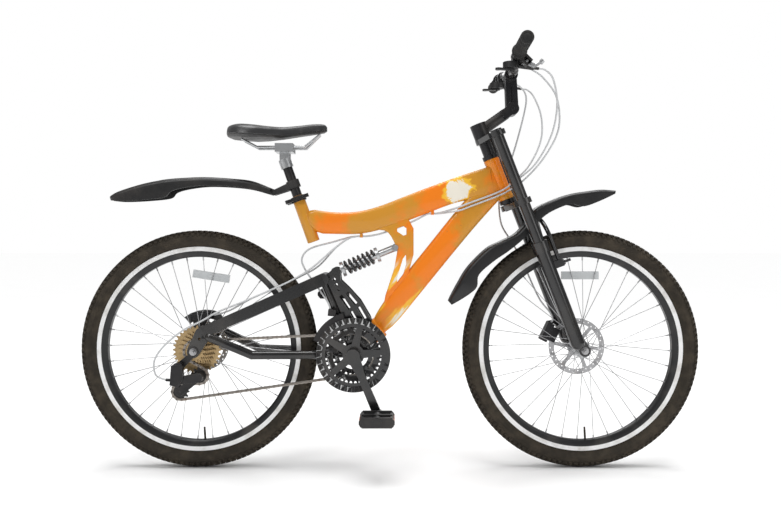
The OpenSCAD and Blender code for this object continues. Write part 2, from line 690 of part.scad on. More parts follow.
wire_r = 4;
module shock_spring() color(BLACK) shock_at() {
    steps = 60;
    helix = [for (i = [0:steps]) let (a = 360 * coil_turns * i / steps)
        [coil_from + wire_r + (coil_to - coil_from - 2 * wire_r) * i / steps,
            (coil_r - wire_r) * cos(a), (coil_r - wire_r) * sin(a)]];
    sweep(helix, ring_of(wire_r, 8), [1, 0, 0]);
}

// ---------------------------------------------------------------- swingarm
drop_in = rear_old / 2;
drop_t = 8;
cross_at = pivot + [-127, 172];
arm_depth = 34;
stay_r = 12;
bb_shell = 36.5;
stay_out = drop_in + stay_r + 0.5;
PLATE = [[-106, 196], [-80, 186], [-78, 169], [-56, 148], [-24, 113], [4, 66], [21, 8],
    [10, -18], [-30, -56], [-62, -44], [-60, 20], [-78, 80], [-100, 130], [-124, 182]];
SLOTS = [[[-66, 131], [-58, 138], [-31, 106], [-39, 99]], [[-33, 91], [-25, 97], [-5, 62],
    [-13, 57]], [[-83, 124], [-75, 130], [-50, 92], [-58, 87]], [[-54, 79], [-46, 84],
    [-26, 48], [-34, 43]]];
DROPOUT = [[-17, -6], [-15, 10], [8, 60], [24, 72], [54, 50], [17, -6]];
module slab(p, y, depth, width, tilt) translate([p[0], y, p[1]]) rotate([0, -tilt, 0])
    cube([2, width, depth], center = true);
module rear_triangle() color(BLACK) {
    arm_start = stay_pt(27, 54);
    arm_tilt = atan2(cross_at[1] - arm_start[1], cross_at[0] - arm_start[0]);
    stay = [at_y(stay_pt(46, 40), stay_out), at_y(stay_pt(158, -10), 65),
        at_y(stay_pt(320, -12.5), 43), at_y(stay_pt(374, -12), 28), at_y(bb, 20)];
    difference() {
        union() {
            pair() {
                hull() {
                    slab(arm_start, drop_in + 8.5, arm_depth - 4, 16, arm_tilt);
                    slab(cross_at, 46, arm_depth, 18, arm_tilt);
                }
                for (i = [0:3]) rod(stay[i], stay[i + 1], stay_r);
                for (i = [0:3]) translate(stay[i]) sphere(r = stay_r + 0.2);
                plate(drop_in, drop_in + drop_t) difference() {
                    translate([rear_x, tyre_r]) {
                        circle(r = 17);
                        polygon(DROPOUT);
                    }
                    translate(stay_pt(17, 35)) circle(r = 4);
                }
                plate(plate_in, plate_in + plate_t) difference() {
                    union() {
                        translate(pivot) polygon(PLATE);
                        translate(shock_rear) circle(r = 14);
                    }
                    for (s = SLOTS) translate(pivot) polygon(s);
                    for (h = [[-97, 172], [-91, 157], [-84, 143]]) translate(pivot + h)
                        circle(r = 4.5);
                }
                rod_y(shock_rear, shock_w / 2 + slip, plate_in + 1, 9);
            }
            rod_y(shock_rear, -plate_in - plate_t - 5, plate_in + plate_t + 5, shock_bolt_r);
            rod_y(cross_at, -55, 55, arm_depth / 2);
            rod(at_y(cross_at, 0), at_y(bb, 0), 15);
            rod_y(bb, -bb_shell, bb_shell, 20);
            rod_y(bb, -bb_shell - 3, bb_shell + 3, 22);
            plate(drop_in, drop_in + drop_t) translate([rear_x, tyre_r]) polygon(
                [for (a = [56:12:128]) 77 * [cos(a), sin(a)], for (a = [128:-12:68])
                102 * [cos(a), sin(a)], [60, 62]]);
        }
        rod_y(bb, -60, 60, spindle_r + run);
        for (s = [-1, 1]) rod_y(pivot, s * (plate_in - 2), s * (plate_in + plate_t + 2),
            pivot_d / 2 + run);
        rod_y([rear_x, tyre_r], -90, 90, axle_r + seat);
    }
}

// ---------------------------------------------------------------- axles and brakes
nut_r = 8.5;
module axle(x, old, plate_w, ends) color(GREY) {
    half = old / 2 + plate_w;
    p = [x, tyre_r];
    rod_y(p, -half - 15, half + 15, axle_r);
    for (s = [-1, 1]) {
        rod_y(p, s * (half + seat), s * (half + 2), nut_r + 1.5);
        rod_y(p, s * (half + 2), s * (half + 9), nut_r, 6);
    }
    for (y = [[-old / 2 + seat, ends[0] - slip], [ends[1] + slip, old / 2 - seat]])
        rod_y(p, y[0], y[1], 8);
}
module front_axle() axle(front_x, front_old, 8, front_hub_ends);
module rear_axle() axle(rear_x, rear_old, drop_t, rear_hub_ends);

// A disc brake caliper; X runs out from the wheel's axis and Z along the disc's edge
arm_shaft_r = 6;
module caliper_at(x, turn) translate([x, 0, tyre_r]) rotate([0, -turn, 0]) children();
module caliper(rotor_d, y, lug_y, pivot_in) color(BLACK) difference() {
    r = rotor_d / 2;
    union() {
        translate([r - 16, y - 9, -21]) cube([26, 21, 42]);
        translate([r + 4, y - 8, -28]) cube([20, lug_y - seat - y + 8, 56]);
    }
    translate([r - 30, y - 2.5, -40]) cube([33, 5, 80]);
    rod_y([r - pivot_in, 0], y + 6, y + 30, arm_shaft_r + run);
}
caliper_in = 5;
arm_l = 38;
arm_lean = 28;
module caliper_arm(rotor_d, y, turn) color(GREY) translate([rotor_d / 2 - caliper_in, 0, 0])
    rotate([0, turn, 0]) {
        rod_y([0, 0], y + 6.5, y + 16, arm_shaft_r);
        difference() {
            plate(y + 12.5, y + 16) {
                circle(r = 9);
                polygon([[-8, 0], [8, 0], [5, arm_l], [-5, arm_l]]);
                translate([0, arm_l]) circle(r = 5, $fn = 24);
            }
            rod_y([0, arm_l], y, y + 30, 1.5, 24);
        }
    }
front_caliper_turn = 154;
rear_caliper_turn = 98;
module front_caliper() caliper_at(front_x, front_caliper_turn)
    caliper(front_rotor_d, front_rotor_y, front_old / 2 + 4, caliper_in);
module rear_caliper() caliper_at(rear_x, rear_caliper_turn)
    caliper(rear_rotor_d, rear_rotor_y, drop_in, caliper_in);
module front_caliper_arm() caliper_at(front_x, front_caliper_turn)
    caliper_arm(front_rotor_d, front_rotor_y, -arm_lean);
module rear_caliper_arm() caliper_at(rear_x, rear_caliper_turn)
    caliper_arm(rear_rotor_d, rear_rotor_y, -arm_lean);

// ---------------------------------------------------------------- derailleurs
fd_clamp = bb + [-49, 119];
cage_in = guard_r - 0.5;
module arc_band(r0, r1, a0, a1, steps = 8) polygon(concat(
    [for (i = [0:steps]) let (a = a0 + (a1 - a0) * i / steps) r0 * [cos(a), sin(a)]],
    [for (i = [steps:-1:0]) let (a = a0 + (a1 - a0) * i / steps) r1 * [cos(a), sin(a)]]));
module front_derailleur() color(GREY) {
    cage_y = [ring_y[2] + 3, ring_y[2] - 9.5];
    tube_dir = unit(cross_at - bb);
    difference() {
        rod(at_y(fd_clamp - 8 * tube_dir, 0), at_y(fd_clamp + 8 * tube_dir, 0), 19.5);
        rod(at_y(fd_clamp - 20 * tube_dir, 0), at_y(fd_clamp + 20 * tube_dir, 0), 15 + slip);
    }
    plate(-16, cage_y[1]) translate(fd_clamp) polygon([[-22, -12], [-2, -14], [2, 2], [-20, 6]]);
    for (y = cage_y) plate(y, y - 1.5) translate(bb) arc_band(cage_in, cage_in + 16, 104, 160);
    for (a = [106, 157]) rod_y(bb + (cage_in + 10) * [cos(a), sin(a)], cage_y[0], cage_y[1], 2.5);
}

hanger = stay_pt(-37, -40);
knuckle = guide + [2, 0];
cage_t = 1.5;
rd_y = -drop_in - drop_t;
module rear_derailleur() color(BLACK) {
    cage_out = cog_y - pulley_hub - 0.2;
    cage_back = cog_y + pulley_hub + 0.2;
    difference() {
        plate(rd_y - 3, rd_y - seat) {
            translate([rear_x, tyre_r]) circle(r = nut_r + 6);
            translate(hanger) circle(r = 12);
            polygon([[rear_x - 10, tyre_r - 4], [rear_x + 8, tyre_r - 8], hanger + [10, -6],
                hanger + [-10, 6]]);
        }
        rod_y([rear_x, tyre_r], -150, 0, nut_r + 1.5 + slip);
    }
    rod_y(hanger, rd_y - 22, rd_y - 2, 14);
    plate(rd_y - 24, rd_y - 6) polygon([hanger + [-16, 6], hanger + [12, 10],
        hanger + [16, -30], hanger + [2, -52], hanger + [-20, -46]]);
    plate(rd_y - 20, rd_y - 8) polygon([hanger + [0, -26], hanger + [-2, -46],
        knuckle + [-2, -12], knuckle + [-4, 12]]);
    rod_y(knuckle, rd_y - 20, cage_out - cage_t, 13);
    for (y = [cage_out, cage_back]) plate(y, y + (y < cog_y ? -cage_t : cage_t)) {
        d = unit(tension - guide);
        for (p = [guide, tension]) translate(p) circle(r = 11);
        polygon([for (k = [[guide, 11], [tension, 11], [tension, -11], [guide, -11]])
            k[0] + k[1] * [d[1], -d[0]]]);
    }
    for (p = [guide, tension]) rod_y(p, cage_out - 2, cage_back + 2, pulley_bolt_r);
    rod([hanger[0] - 14, rd_y - 15, hanger[1] - 34], [hanger[0] - 32, rd_y - 15, hanger[1] - 33], 4);
}

// ---------------------------------------------------------------- fork
stan_r = stanchion_d / 2;
leg_r = leg_d / 2;
leg_y = leg_gap / 2;
leg_top = -140;
leg_end = -(fork_l - 29.3);
stan_end = -250;
bore_end = stan_end - fork_travel - 15;
crown_low = [-30, -14];
crown_high = [170, 184];
arch_o = leg_offset + 35;
arch_r = leg_y - 5;
arch_t = leg_top - 5;
boss_t = -215;
stud_r = 4;
module crown(t, w) translate([0, 0, t[0]]) difference() {
    linear_extrude(t[1] - t[0]) {
        polygon([[-18, -20], [4, -leg_y - 12], [leg_offset + 20, -leg_y - 12],
            [leg_offset + 14, -leg_y + w], [24, -24], [24, 24], [leg_offset + 14, leg_y - w],
            [leg_offset + 20, leg_y + 12], [4, leg_y + 12], [-18, 20]]);
        circle(r = 24);
        for (s = [-1, 1]) translate([leg_offset, s * leg_y]) circle(r = stan_r + 7);
    }
    translate([0, 0, -1]) cylinder(r = steerer_r + seat, h = 40);
    for (s = [-1, 1]) translate([leg_offset, s * leg_y, -1]) cylinder(r = stan_r + seat, h = 40);
}
module fork_crowns() color(BLACK) steering() {
    crown(crown_low, 20);
    crown(crown_high, 22);
}
module steerer() color(BLACK) steering() {
    difference() {
        translate([0, 0, crown_low[0] - 2]) cylinder(r = steerer_r, h = 258);
        translate([0, 0, crown_low[0] - 3]) cylinder(r = steerer_r - 2.5, h = 250);
    }
    translate([0, 0, head_l + cup_h + slip]) difference() {
        cylinder(r = 17, h = crown_high[0] - head_l - cup_h - slip - seat);
        translate([0, 0, -1]) cylinder(r = steerer_r - 1, h = 60);
    }
}
module stanchions() color([0.1, 0.1, 0.11]) steering() for (s = [-1, 1])
    translate([leg_offset, s * leg_y, stan_end]) difference() {
        cylinder(r = stan_r, h = crown_high[1] + 5 - stan_end);
        translate([0, 0, -1]) cylinder(r = stan_r - 2.5, h = crown_high[1] - stan_end - 3);
    }
module fork_lowers() color(BLACK) steering() difference() {
    union() {
        pair() {
            translate([leg_offset, leg_y, leg_end]) {
                cylinder(r = leg_r, h = leg_top - leg_end);
                translate([0, 0, leg_top - leg_end - 30]) cylinder(r = leg_r + 4, h = 30);
                sphere(r = leg_r);
            }
            translate([0, front_old / 2 + 8, 0]) rotate([90, 0, 0]) linear_extrude(8) {
                translate([rake, -fork_l]) circle(r = 16);
                polygon([[leg_offset - 17, leg_end + 36], [leg_offset + 17, leg_end + 36],
                    [rake + 15, -fork_l + 2], [rake - 14, -fork_l - 6]]);
            }
            translate([leg_offset + 8, leg_y - 11, boss_t - 9]) cube([arch_o - leg_offset - 1, 22, 20]);
            rod([arch_o - 1, leg_y, boss_t], [arch_o + 12, leg_y, boss_t], 8);
            rod([arch_o, leg_y, boss_t], [arch_o + 29, leg_y, boss_t], stud_r);
            rod([arch_o, arch_r, boss_t + 8], [arch_o, arch_r, arch_t], 6);
        }
        translate([arch_o, 0, arch_t]) rotate([90, 0, 90])
            rotate_extrude(angle = 180, $fn = 64) translate([arch_r, 0]) circle(r = 6);
        // the lug of the front brake, behind the left leg
        steering_back() caliper_at(front_x, front_caliper_turn) {
            r = front_rotor_d / 2;
            plate(front_old / 2 + 4, front_old / 2 + 12) polygon([[r + 6, -28], [r + 24, -28],
                [r + 24, 28], [r + 12, 28], [r + 6, 16]]);
            plate(front_old / 2 + 4, front_old / 2 + 12) polygon([[r + 6, -28], [r + 24, -28],
                [60, -58], [30, -44]]);
        }
    }
    for (s = [-1, 1]) translate([leg_offset, s * leg_y, bore_end])
        cylinder(r = stan_r + run, h = leg_top - bore_end + 1);
    for (s = [-1, 1]) translate([rake, s * (front_old / 2 + 4), -fork_l]) rod_y([0, 0], -20, 20,
        axle_r + seat);
}
module steering_back() rotate([0, head_lean, 0]) translate([-head[0], 0, -head[1]]) children();

// ---------------------------------------------------------------- cockpit
clamp_at = [head[0] - 205 * sin_h, head[1] + 205 * cos_h];
elbow = clamp_at + stem_l * [cos(stem_rise), sin(stem_rise)];
bar_at = elbow + [-4, 96];
bar_r = bar_d / 2;
bar_end_r = 11.1;
bend_in = 60;
bend_out = 100;
bar_rise = 22;
stem_w = 13.5;
module stem() color(BLACK) {
    steering() difference() {
        translate([0, 0, crown_high[1] + slip]) cylinder(r = 23, h = 42);
        translate([0, 0, crown_high[1] - 1]) cylinder(r = steerer_r + seat, h = 50);
    }
    difference() {
        union() {
            rod(at_y(clamp_at, 0), at_y(elbow - 22 * unit(elbow - clamp_at), 0), 16);
            for (s = [-1, 1]) plate(s * (stem_w + slip), s * (stem_w + 6.5)) {
                translate(elbow) circle(r = 18);
                translate(elbow) rotate(stem_rise) translate([-34, -14]) square([34, 28]);
            }
        }
        steering() translate([0, 0, 100]) cylinder(r = steerer_r + 3, h = 180);
        translate([elbow[0], 0, elbow[1]]) rod_y([0, 0], -stem_w - slip, stem_w + slip, 20);
    }
    rod_y(elbow, -stem_w - 10, stem_w + 10, 5);
}
module stem_link() color(BLACK) difference() {
    union() {
        rod_y(elbow, -stem_w, stem_w, 18);
        rod_y(bar_at, -19, 19, bar_r + 6);
        plate(-stem_w, stem_w) polygon([elbow + [-17, 4], elbow + [17, 4], bar_at + [16, -8],
            bar_at + [-16, -8]]);
    }
    rod_y(elbow, -30, 30, 5 + run);
    rod_y(bar_at, -30, 30, bar_r + seat);
}
function bar_pt(s, y) = [bar_at[0] - 3 - (y - bend_out) * 0.02, s * y,
    bar_at[1] + bar_rise + (y - bend_out) * 0.02];
bar_half = bar_l / 2;
module handlebar() color(BLACK) {
    rod_y(bar_at, -bend_in, bend_in, bar_r);
    for (s = [-1, 1]) {
        rod(at_y(bar_at, s * (bend_in - 2)), bar_pt(s, bend_out), bar_end_r);
        translate(at_y(bar_at, s * bend_in)) sphere(r = bar_r);
        translate(bar_pt(s, bend_out)) sphere(r = bar_end_r + 0.2);
        rod(bar_pt(s, bend_out), bar_pt(s, bar_half - 2), bar_end_r);
    }
}
module grips() color(RUBBER) for (s = [-1, 1]) difference() {
    union() {
        rod(bar_pt(s, bar_half - grip_l), bar_pt(s, bar_half), grip_d / 2);
        rod(bar_pt(s, bar_half - grip_l), bar_pt(s, bar_half - grip_l + 5), grip_d / 2 + 3);
    }
    rod(bar_pt(s, bar_half - grip_l - 5), bar_pt(s, bar_half - 1.9), bar_end_r + seat);
}
perch_y = bar_half - grip_l - 15;    // centre of the brake lever clamps
pod_y = perch_y - 30;                // centre of the shifter clamps
lever_lean = 45;
lever_pivot = [30, perch_y - 6];
pod_at = [-16, -25];                 // centre of a shifter pod, from the bar
module at_bar(s, y) translate(bar_pt(s, y)) children();
module control_perches() color(BLACK) for (s = [-1, 1]) difference() {
    union() {
        rod(bar_pt(s, perch_y - 11), bar_pt(s, perch_y + 11), 16);
        rod(bar_pt(s, pod_y - 9), bar_pt(s, pod_y + 9), 15);
        at_bar(s, perch_y) rotate([0, lever_lean, 0]) for (z = [-11, 5])
            translate([8, -11, z]) cube([32, 22, 6]);
        at_bar(s, perch_y) rotate([0, lever_lean, 0]) translate([8, -11, -11]) cube([10, 22, 22]);
        at_bar(s, pod_y) translate([pod_at[0], 0, pod_at[1] - 8]) cylinder(r = 21, h = 16);
        at_bar(s, pod_y) translate([-12, -9, -22]) cube([24, 18, 14]);
        at_bar(s, pod_y) rod([0, 0, -26], [44, 0, -32], 6);
        at_bar(s, pod_y) rod([40, 0, -31.5], [58, 0, -33.5], 4);
        at_bar(s, perch_y) rotate([0, lever_lean, 0]) rod([12, s * -12, 6], [32, s * -34, 6], 5);
    }
    rod(bar_pt(s, pod_y - 30), bar_pt(s, perch_y + 30), bar_end_r + seat);
    at_bar(s, perch_y) rotate([0, lever_lean, 0]) translate([lever_pivot[0], -s * 6, -20])
        cylinder(r = 3 + run, h = 40, $fn = 32);
    at_bar(s, pod_y) translate([pod_at[0], 0, pod_at[1] - 20])
        cylinder(r = 3 + run, h = 25, $fn = 32);
}
module brake_lever(s) color(SILVER) at_bar(s, perch_y) rotate([0, lever_lean, 0]) {
    translate([lever_pivot[0], -s * 6, -11]) cylinder(r = 3, h = 22, $fn = 32);
    translate([0, 0, -4.4]) linear_extrude(8.8) {
        translate([lever_pivot[0], -s * 6]) circle(r = 8);
        polygon([[24, -s * 8], [34, -s * 12], [58, s * 14], [60, s * 40], [64, s * 82],
            [57, s * 84], [53, s * 42], [50, s * 20]]);
        translate([61, s * 84]) circle(r = 6, $fn = 32);
    }
}
module shift_lever(s) color(GREY) at_bar(s, pod_y) translate([pod_at[0], 0, pod_at[1] - 8]) {
    translate([0, 0, -8]) cylinder(r = 3, h = 20, $fn = 32);
    translate([0, 0, -5 - slip]) linear_extrude(5) {
        circle(r = 9);
        polygon([[0, -s * 6], [0, s * 6], [-34, s * 14], [-38, s * 2]]);
        translate([-34, s * 7]) circle(r = 8, $fn = 32);
    }
}
module brake_lever_right() brake_lever(-1);
module brake_lever_left() brake_lever(1);
module shift_lever_right() shift_lever(-1);
module shift_lever_left() shift_lever(1);

// ---------------------------------------------------------------- saddle and post
post_top = post_l - post_in;
rail_r = 3.5;
rail_y = 22;
rail_z = 38;                         // height of the rails' middle above the post's top
post_head = [seat_top[0] - post_top * sin(seat_lean), seat_top[1] + post_top * cos(seat_lean)];
saddle_k = saddle_l / 278;
saddle_wk = saddle_w / 158;
module seatpost() color(BLACK) along_post(-post_in) difference() {
    cylinder(r = post_r, h = post_l, $fn = 64);
    translate([0, 0, -1]) cylinder(r = post_r - 2.2, h = post_l - 25, $fn = 64);
}
RAIL = [[100, 8, 75.4], [58, rail_y, rail_z], [-76, rail_y, rail_z], [-118, 30, 60]];
function rail_pt(p, s) = [post_head[0] + p[0], s * p[1], post_head[1] + p[2]];
module saddle_clamp() color(SILVER) {
    difference() {
        union() {
            along_post(post_top - 20) cylinder(r = post_r + 4, h = 26);
            translate([post_head[0] - 25, -31, post_head[1] + 24]) cube([50, 62, 24]);
            translate([post_head[0] - 14, -14, post_head[1] - 4]) cube([28, 28, 32]);
        }
        along_post(post_top - 60) cylinder(r = post_r + seat, h = 60 + seat);
        for (s = [-1, 1]) rod([post_head[0] - 40, s * rail_y, post_head[1] + rail_z],
            [post_head[0] + 40, s * rail_y, post_head[1] + rail_z], rail_r + seat);
    }
    for (s = [-1, 1]) union() for (i = [0:2]) {
        a = rail_pt(RAIL[i], s);
        rod(a, rail_pt(RAIL[i + 1], s), rail_r);
        if (i > 0) translate(a) sphere(r = rail_r + 0.2);
    }
}
// Stations along the saddle: X from the post's head, half width, top and bottom
SADDLE = [[-160, 16, 82, 68], [-152, 52, 95, 66], [-124, 74, 101, 64], [-84, 77, 99, 62],
    [-44, 56, 96, 62], [-4, 33, 95, 64], [40, 24, 99, 70], [84, 20, 104, 76],
    [110, 16, 103, 80], [118, 8, 97, 84]];
// Sections across the padded cover and the shell under it, as shares of those sizes
COVER = [[-1, 0.2], [-0.96, 0.5], [-0.8, 0.82], [-0.45, 0.98], [0, 1], [0.45, 0.98],
    [0.8, 0.82], [0.96, 0.5], [1, 0.2]];
SHELL = [[-0.94, 0.19], [0.94, 0.19], [0.7, 0], [-0.7, 0]];
module loft(rings) {
    n = len(rings[0]);
    polyhedron(points = [for (r = rings) each r], faces = concat(
        [[for (j = [n - 1:-1:0]) j]], [[for (j = [0:n - 1]) (len(rings) - 1) * n + j]],
        [for (i = [0:len(rings) - 2], j = [0:n - 1]) let (a = i * n, b = a + n, k = (j + 1) % n)
            each [[a + j, a + k, b + j], [b + j, a + k, b + k]]]));
}
module saddle_layer(section) loft([for (p = SADDLE) [for (q = section)
    [post_head[0] + p[0] * saddle_k, q[0] * p[1] * saddle_wk,
        post_head[1] + lerp(p[3], p[2], q[1])]]]);
module saddle_cover() color(BLACK) saddle_layer(COVER);
module saddle_shell() color(BLACK) saddle_layer(SHELL);

// ---------------------------------------------------------------- mudguards
guard_pivot = frame_pt(-265.5, 415);
guard_clamp = 35;                    // height of the clamp above the seat tube
tongue = 8.5;
ear_t = 5;
module rear_fender_clamp() color(BLACK) {
    difference() {
        union() {
            along_post(guard_clamp - 11) cylinder(r = post_r + 5, h = 22);
            for (s = [-1, 1]) plate(s * (tongue + slip), s * (tongue + ear_t)) {
                polygon([guard_pivot + [0, -8], guard_pivot + [0, 8], guard_pivot + [46, 30],
                    guard_pivot + [44, 6]]);
                translate(guard_pivot) circle(r = 8);
            }
            plate(-tongue - 1, tongue + 1) polygon([guard_pivot + [18, 2], guard_pivot + [18, 16],
                guard_pivot + [46, 30], guard_pivot + [44, 6]]);
        }
        along_post(0) cylinder(r = post_r + seat, h = 90);
    }
    rod_y(guard_pivot, -tongue - ear_t - 4, tongue + ear_t + 4, 3);
}
REAR_GUARD = [[4, 8], [-60, 32], [-120, 39], [-192, 43], [-290, 38], [-370, 24], [-430, 4],
    [-468, -18], [-463, -23], [-424, -26], [-300, -18], [-290, 0], [-192, 18], [-70, 9],
    [-9, -9]];
module rear_fender() color(BLACK) translate([guard_pivot[0], 0, guard_pivot[1]]) difference() {
    union() {
        difference() {
            plate(-34, 34) polygon([for (p = REAR_GUARD) if (p[0] < -9) p, [-14, -9], [-14, 14]]);
            plate(-31.5, 31.5) translate([0, -3]) polygon(concat([[-22, 12]],
                [for (i = [1:7]) REAR_GUARD[i]], [[-463, -90], [-22, -90]]));
        }
        plate(-tongue, tongue) polygon([[0, -8], [0, 8], [-60, 30], [-60, 18]]);
        rod_y([0, 0], -tongue, tongue, 8);
    }
    rod_y([0, 0], -20, 20, 3 + run);
}
FRONT_TOP = [[95, 443], [54, 446], [-38, 433], [-133, 395], [-147, 368], [-180, 325.5],
    [-264, 285], [-318, 231], [-377, 130]];
FRONT_LOW = [[-366, 119], [-295, 166], [-290, 203], [-269, 229], [-222, 262], [-165, 306],
    [-140, 334], [-110, 368], [-38, 407], [-10, 396], [14, 396], [91, 433]];
module front_fender() color(BLACK) translate([front_x, 0, tyre_r]) {
    difference() {
        plate(-34, 34) polygon(concat(FRONT_TOP, FRONT_LOW));
        plate(-31.5, 31.5) translate([0, -3]) polygon(concat([for (p = FRONT_TOP) p],
            [[-370, 40], [-200, 200], [-60, 300], [95, 380]]));
    }
    plate(-10, 10) polygon([[-126, 369.4], [-106, 369.4], [-106, 404], [-126, 397]]);
}

// ---------------------------------------------------------------- cables
// Routes from the controls; the last point of each meets a frame cable or a brake
LOOPS = [[[394.3, -130, 1089.4], [412, -129.5, 1085], [434, -122, 1062], [450, -96, 1000],
    [442, -64, 925], [404, -46, 850], [358, -38, 807], [318.4, -29, 778.2]],
    [[362.4, -125.6, 1104.9], [366.6, -119.4, 1100.9], [380, -107, 1092],
    [412, -98, 1072], [452, -84, 1020],
    [462, -58, 940], [424, -44, 862], [368, -37, 800], [322.4, -28.5, 769.2]],
    [[394.3, 130, 1089.4], [412, 129.5, 1085], [430, 122, 1062], [446, 96, 1000],
    [438, 64, 925], [400, 46, 850], [354, 38, 805], [316.4, 29, 776.2]]];
FRONT_HOSE = [[362.4, 125.6, 1104.9], [366.6, 119.4, 1100.9], [384, 107, 1092],
    [402, 102, 1062], [396, 100, 1010],
    [366, 95, 900], [340, 92, 830], [322, 93, 770], [326, 93, 690], [352, 92, 640],
    [388, 90, 580], [412, 86, 520], [438, 74, 462], [462, 54, 428], [467.6, 43, 409],
    [463.2, 42, 399.9]];
module control_cables() color(CABLE) {
    for (p = LOOPS) cable(p, [0, 0, 1], 3);
    cable(FRONT_HOSE, [0, 0, 1], 3);
}
// Static stretches under the top tube
ALONG = [[[317.6, -29, 777.6], [285, -24, 763], [222, -22.5, 740], [196, -22.5, 730],
    [172, -15, 722], [152, -9, 716], [134, -9, 711.5], [124, -9, 711], [116, -9, 711],
    [102, -9, 708], [63, -9, 688], [-11, -9, 659], [-45, -9, 650], [-66, -9, 647.2],
    [-79.6, -9, 647]],
    [[321.6, -28.5, 768.6], [290, -25, 755], [226, -22.5, 731], [200, -22.5, 721],
    [180, -22, 716.5], [162, -9, 714], [146, 0, 712], [134, 0, 711.2], [124, 0, 711],
    [116, 0, 711], [102, 0, 708], [63, 0, 688], [-11, 0, 659], [-45, 0, 650],
    [-66, 0, 647.2], [-79.6, 0, 647]],
    [[315.6, 29, 775.6], [284, 24, 762], [222, 22.5, 740], [196, 22.5, 730], [172, 15, 722],
    [152, 9, 716], [134, 9, 711.5], [124, 9, 711], [116, 9, 711], [102, 9, 708],
    [63, 9, 688], [-11, 9, 659], [-45, 9, 650], [-66, 9, 647.2], [-79.6, 9, 647]]];
module frame_cables() color(CABLE) for (p = ALONG) cable(p, [0, 1, 0], 2);
// Free spans to the swingarm, then along its arms to the rear brake and the derailleurs
SPANS = [[[-80.4, 9, 647], [-88, 9, 647], [-100, 10, 645.5], [-118, 14, 640],
    [-154, 24, 615], [-205, 40, 562], [-262, 50, 530],
    [-330, 56, 498], [-400, 62, 468], [-462, 62, 434], [-498, 58, 422], [-518, 58, 419.3]],
    [[-80.4, -9, 647], [-88, -9, 647], [-100, -10, 645.5], [-118, -14, 640],
    [-154, -24, 614], [-215, -42, 560], [-270, -52, 526],
    [-330, -58, 498], [-400, -63, 468], [-470, -68, 440], [-512, -78, 416], [-560, -87, 392],
    [-610, -90, 350], [-636, -89, 310], [-632, -89, 272], [-605, -90.5, 259.1]],
    [[-80.4, 0, 647], [-88, 0, 647], [-100, 0, 646], [-118, -1, 643], [-160, -3, 631],
    [-225, -4, 612], [-247, -10, 584],
    [-236, -16, 552], [-212, -24, 520], [-190, -32, 490], [-172, -36, 464],
    [-165, -36, 446.6]]];
module swingarm_cables() color(CABLE) for (p = SPANS) cable(p, [0, 1, 0], 2);

main_frame();
headset_cups();
seat_collar();
suspension_bolts();
frame_cables();
seat_lever();
seatpost();
saddle_clamp();
saddle_shell();
saddle_cover();
rear_fender_clamp();
rear_fender();
steerer();
fork_crowns();
stanchions();
stem();
stem_link();
handlebar();
grips();
control_perches();
brake_lever_right();
brake_lever_left();
shift_lever_right();
shift_lever_left();
control_cables();
fork_lowers();
front_fender();
front_axle();
front_caliper();
front_caliper_arm();
front_tyre();
front_tube();
front_rim();
front_spokes();
front_hub();
front_rotor();
front_reflector();
rear_triangle();
front_derailleur();
rear_derailleur();
chain();
rear_axle();
rear_caliper();
rear_caliper_arm();
swingarm_cables();
rear_tyre();
rear_tube();
rear_rim();
rear_spokes();
rear_hub();
rear_rotor();
rear_reflector();
sprockets();
guide_pulley();
tension_pulley();
crank_arms();
chainrings();
pedal_right();
pedal_left();
shock_body();
shock_spring();
shock_shaft();
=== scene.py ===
# Looks of the mountain bike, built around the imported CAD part. Metres; X forward, Y left, Z up.
import json
import math

import bmesh
import bpy
import numpy as np
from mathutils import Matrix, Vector


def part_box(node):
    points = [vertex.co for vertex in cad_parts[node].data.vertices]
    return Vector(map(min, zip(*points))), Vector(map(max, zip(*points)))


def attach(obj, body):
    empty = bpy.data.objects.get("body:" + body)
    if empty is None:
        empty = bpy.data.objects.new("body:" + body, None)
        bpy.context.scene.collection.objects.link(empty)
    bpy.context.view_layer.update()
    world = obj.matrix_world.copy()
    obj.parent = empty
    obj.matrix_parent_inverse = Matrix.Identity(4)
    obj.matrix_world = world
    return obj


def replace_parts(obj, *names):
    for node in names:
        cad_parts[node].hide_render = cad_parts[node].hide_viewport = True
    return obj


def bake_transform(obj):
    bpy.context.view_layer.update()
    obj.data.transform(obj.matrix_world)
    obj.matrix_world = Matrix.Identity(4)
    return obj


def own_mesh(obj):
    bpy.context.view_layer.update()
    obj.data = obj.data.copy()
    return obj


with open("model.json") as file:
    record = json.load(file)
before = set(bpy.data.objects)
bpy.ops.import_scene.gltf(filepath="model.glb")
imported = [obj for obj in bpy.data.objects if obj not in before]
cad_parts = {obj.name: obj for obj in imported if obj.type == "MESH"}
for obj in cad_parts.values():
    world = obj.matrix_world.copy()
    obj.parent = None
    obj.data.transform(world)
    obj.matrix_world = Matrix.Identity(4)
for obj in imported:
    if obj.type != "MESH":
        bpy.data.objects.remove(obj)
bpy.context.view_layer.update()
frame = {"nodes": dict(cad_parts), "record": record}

MM = 0.001
BLACK = (0.006, 0.006, 0.0066)
ORANGE = (0.88, 0.215, 0.006)
AMBER = (0.56, 0.29, 0.03)


def middle(node):
    """The middle of a CAD node's box."""
    low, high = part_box(node)
    return (low + high) / 2


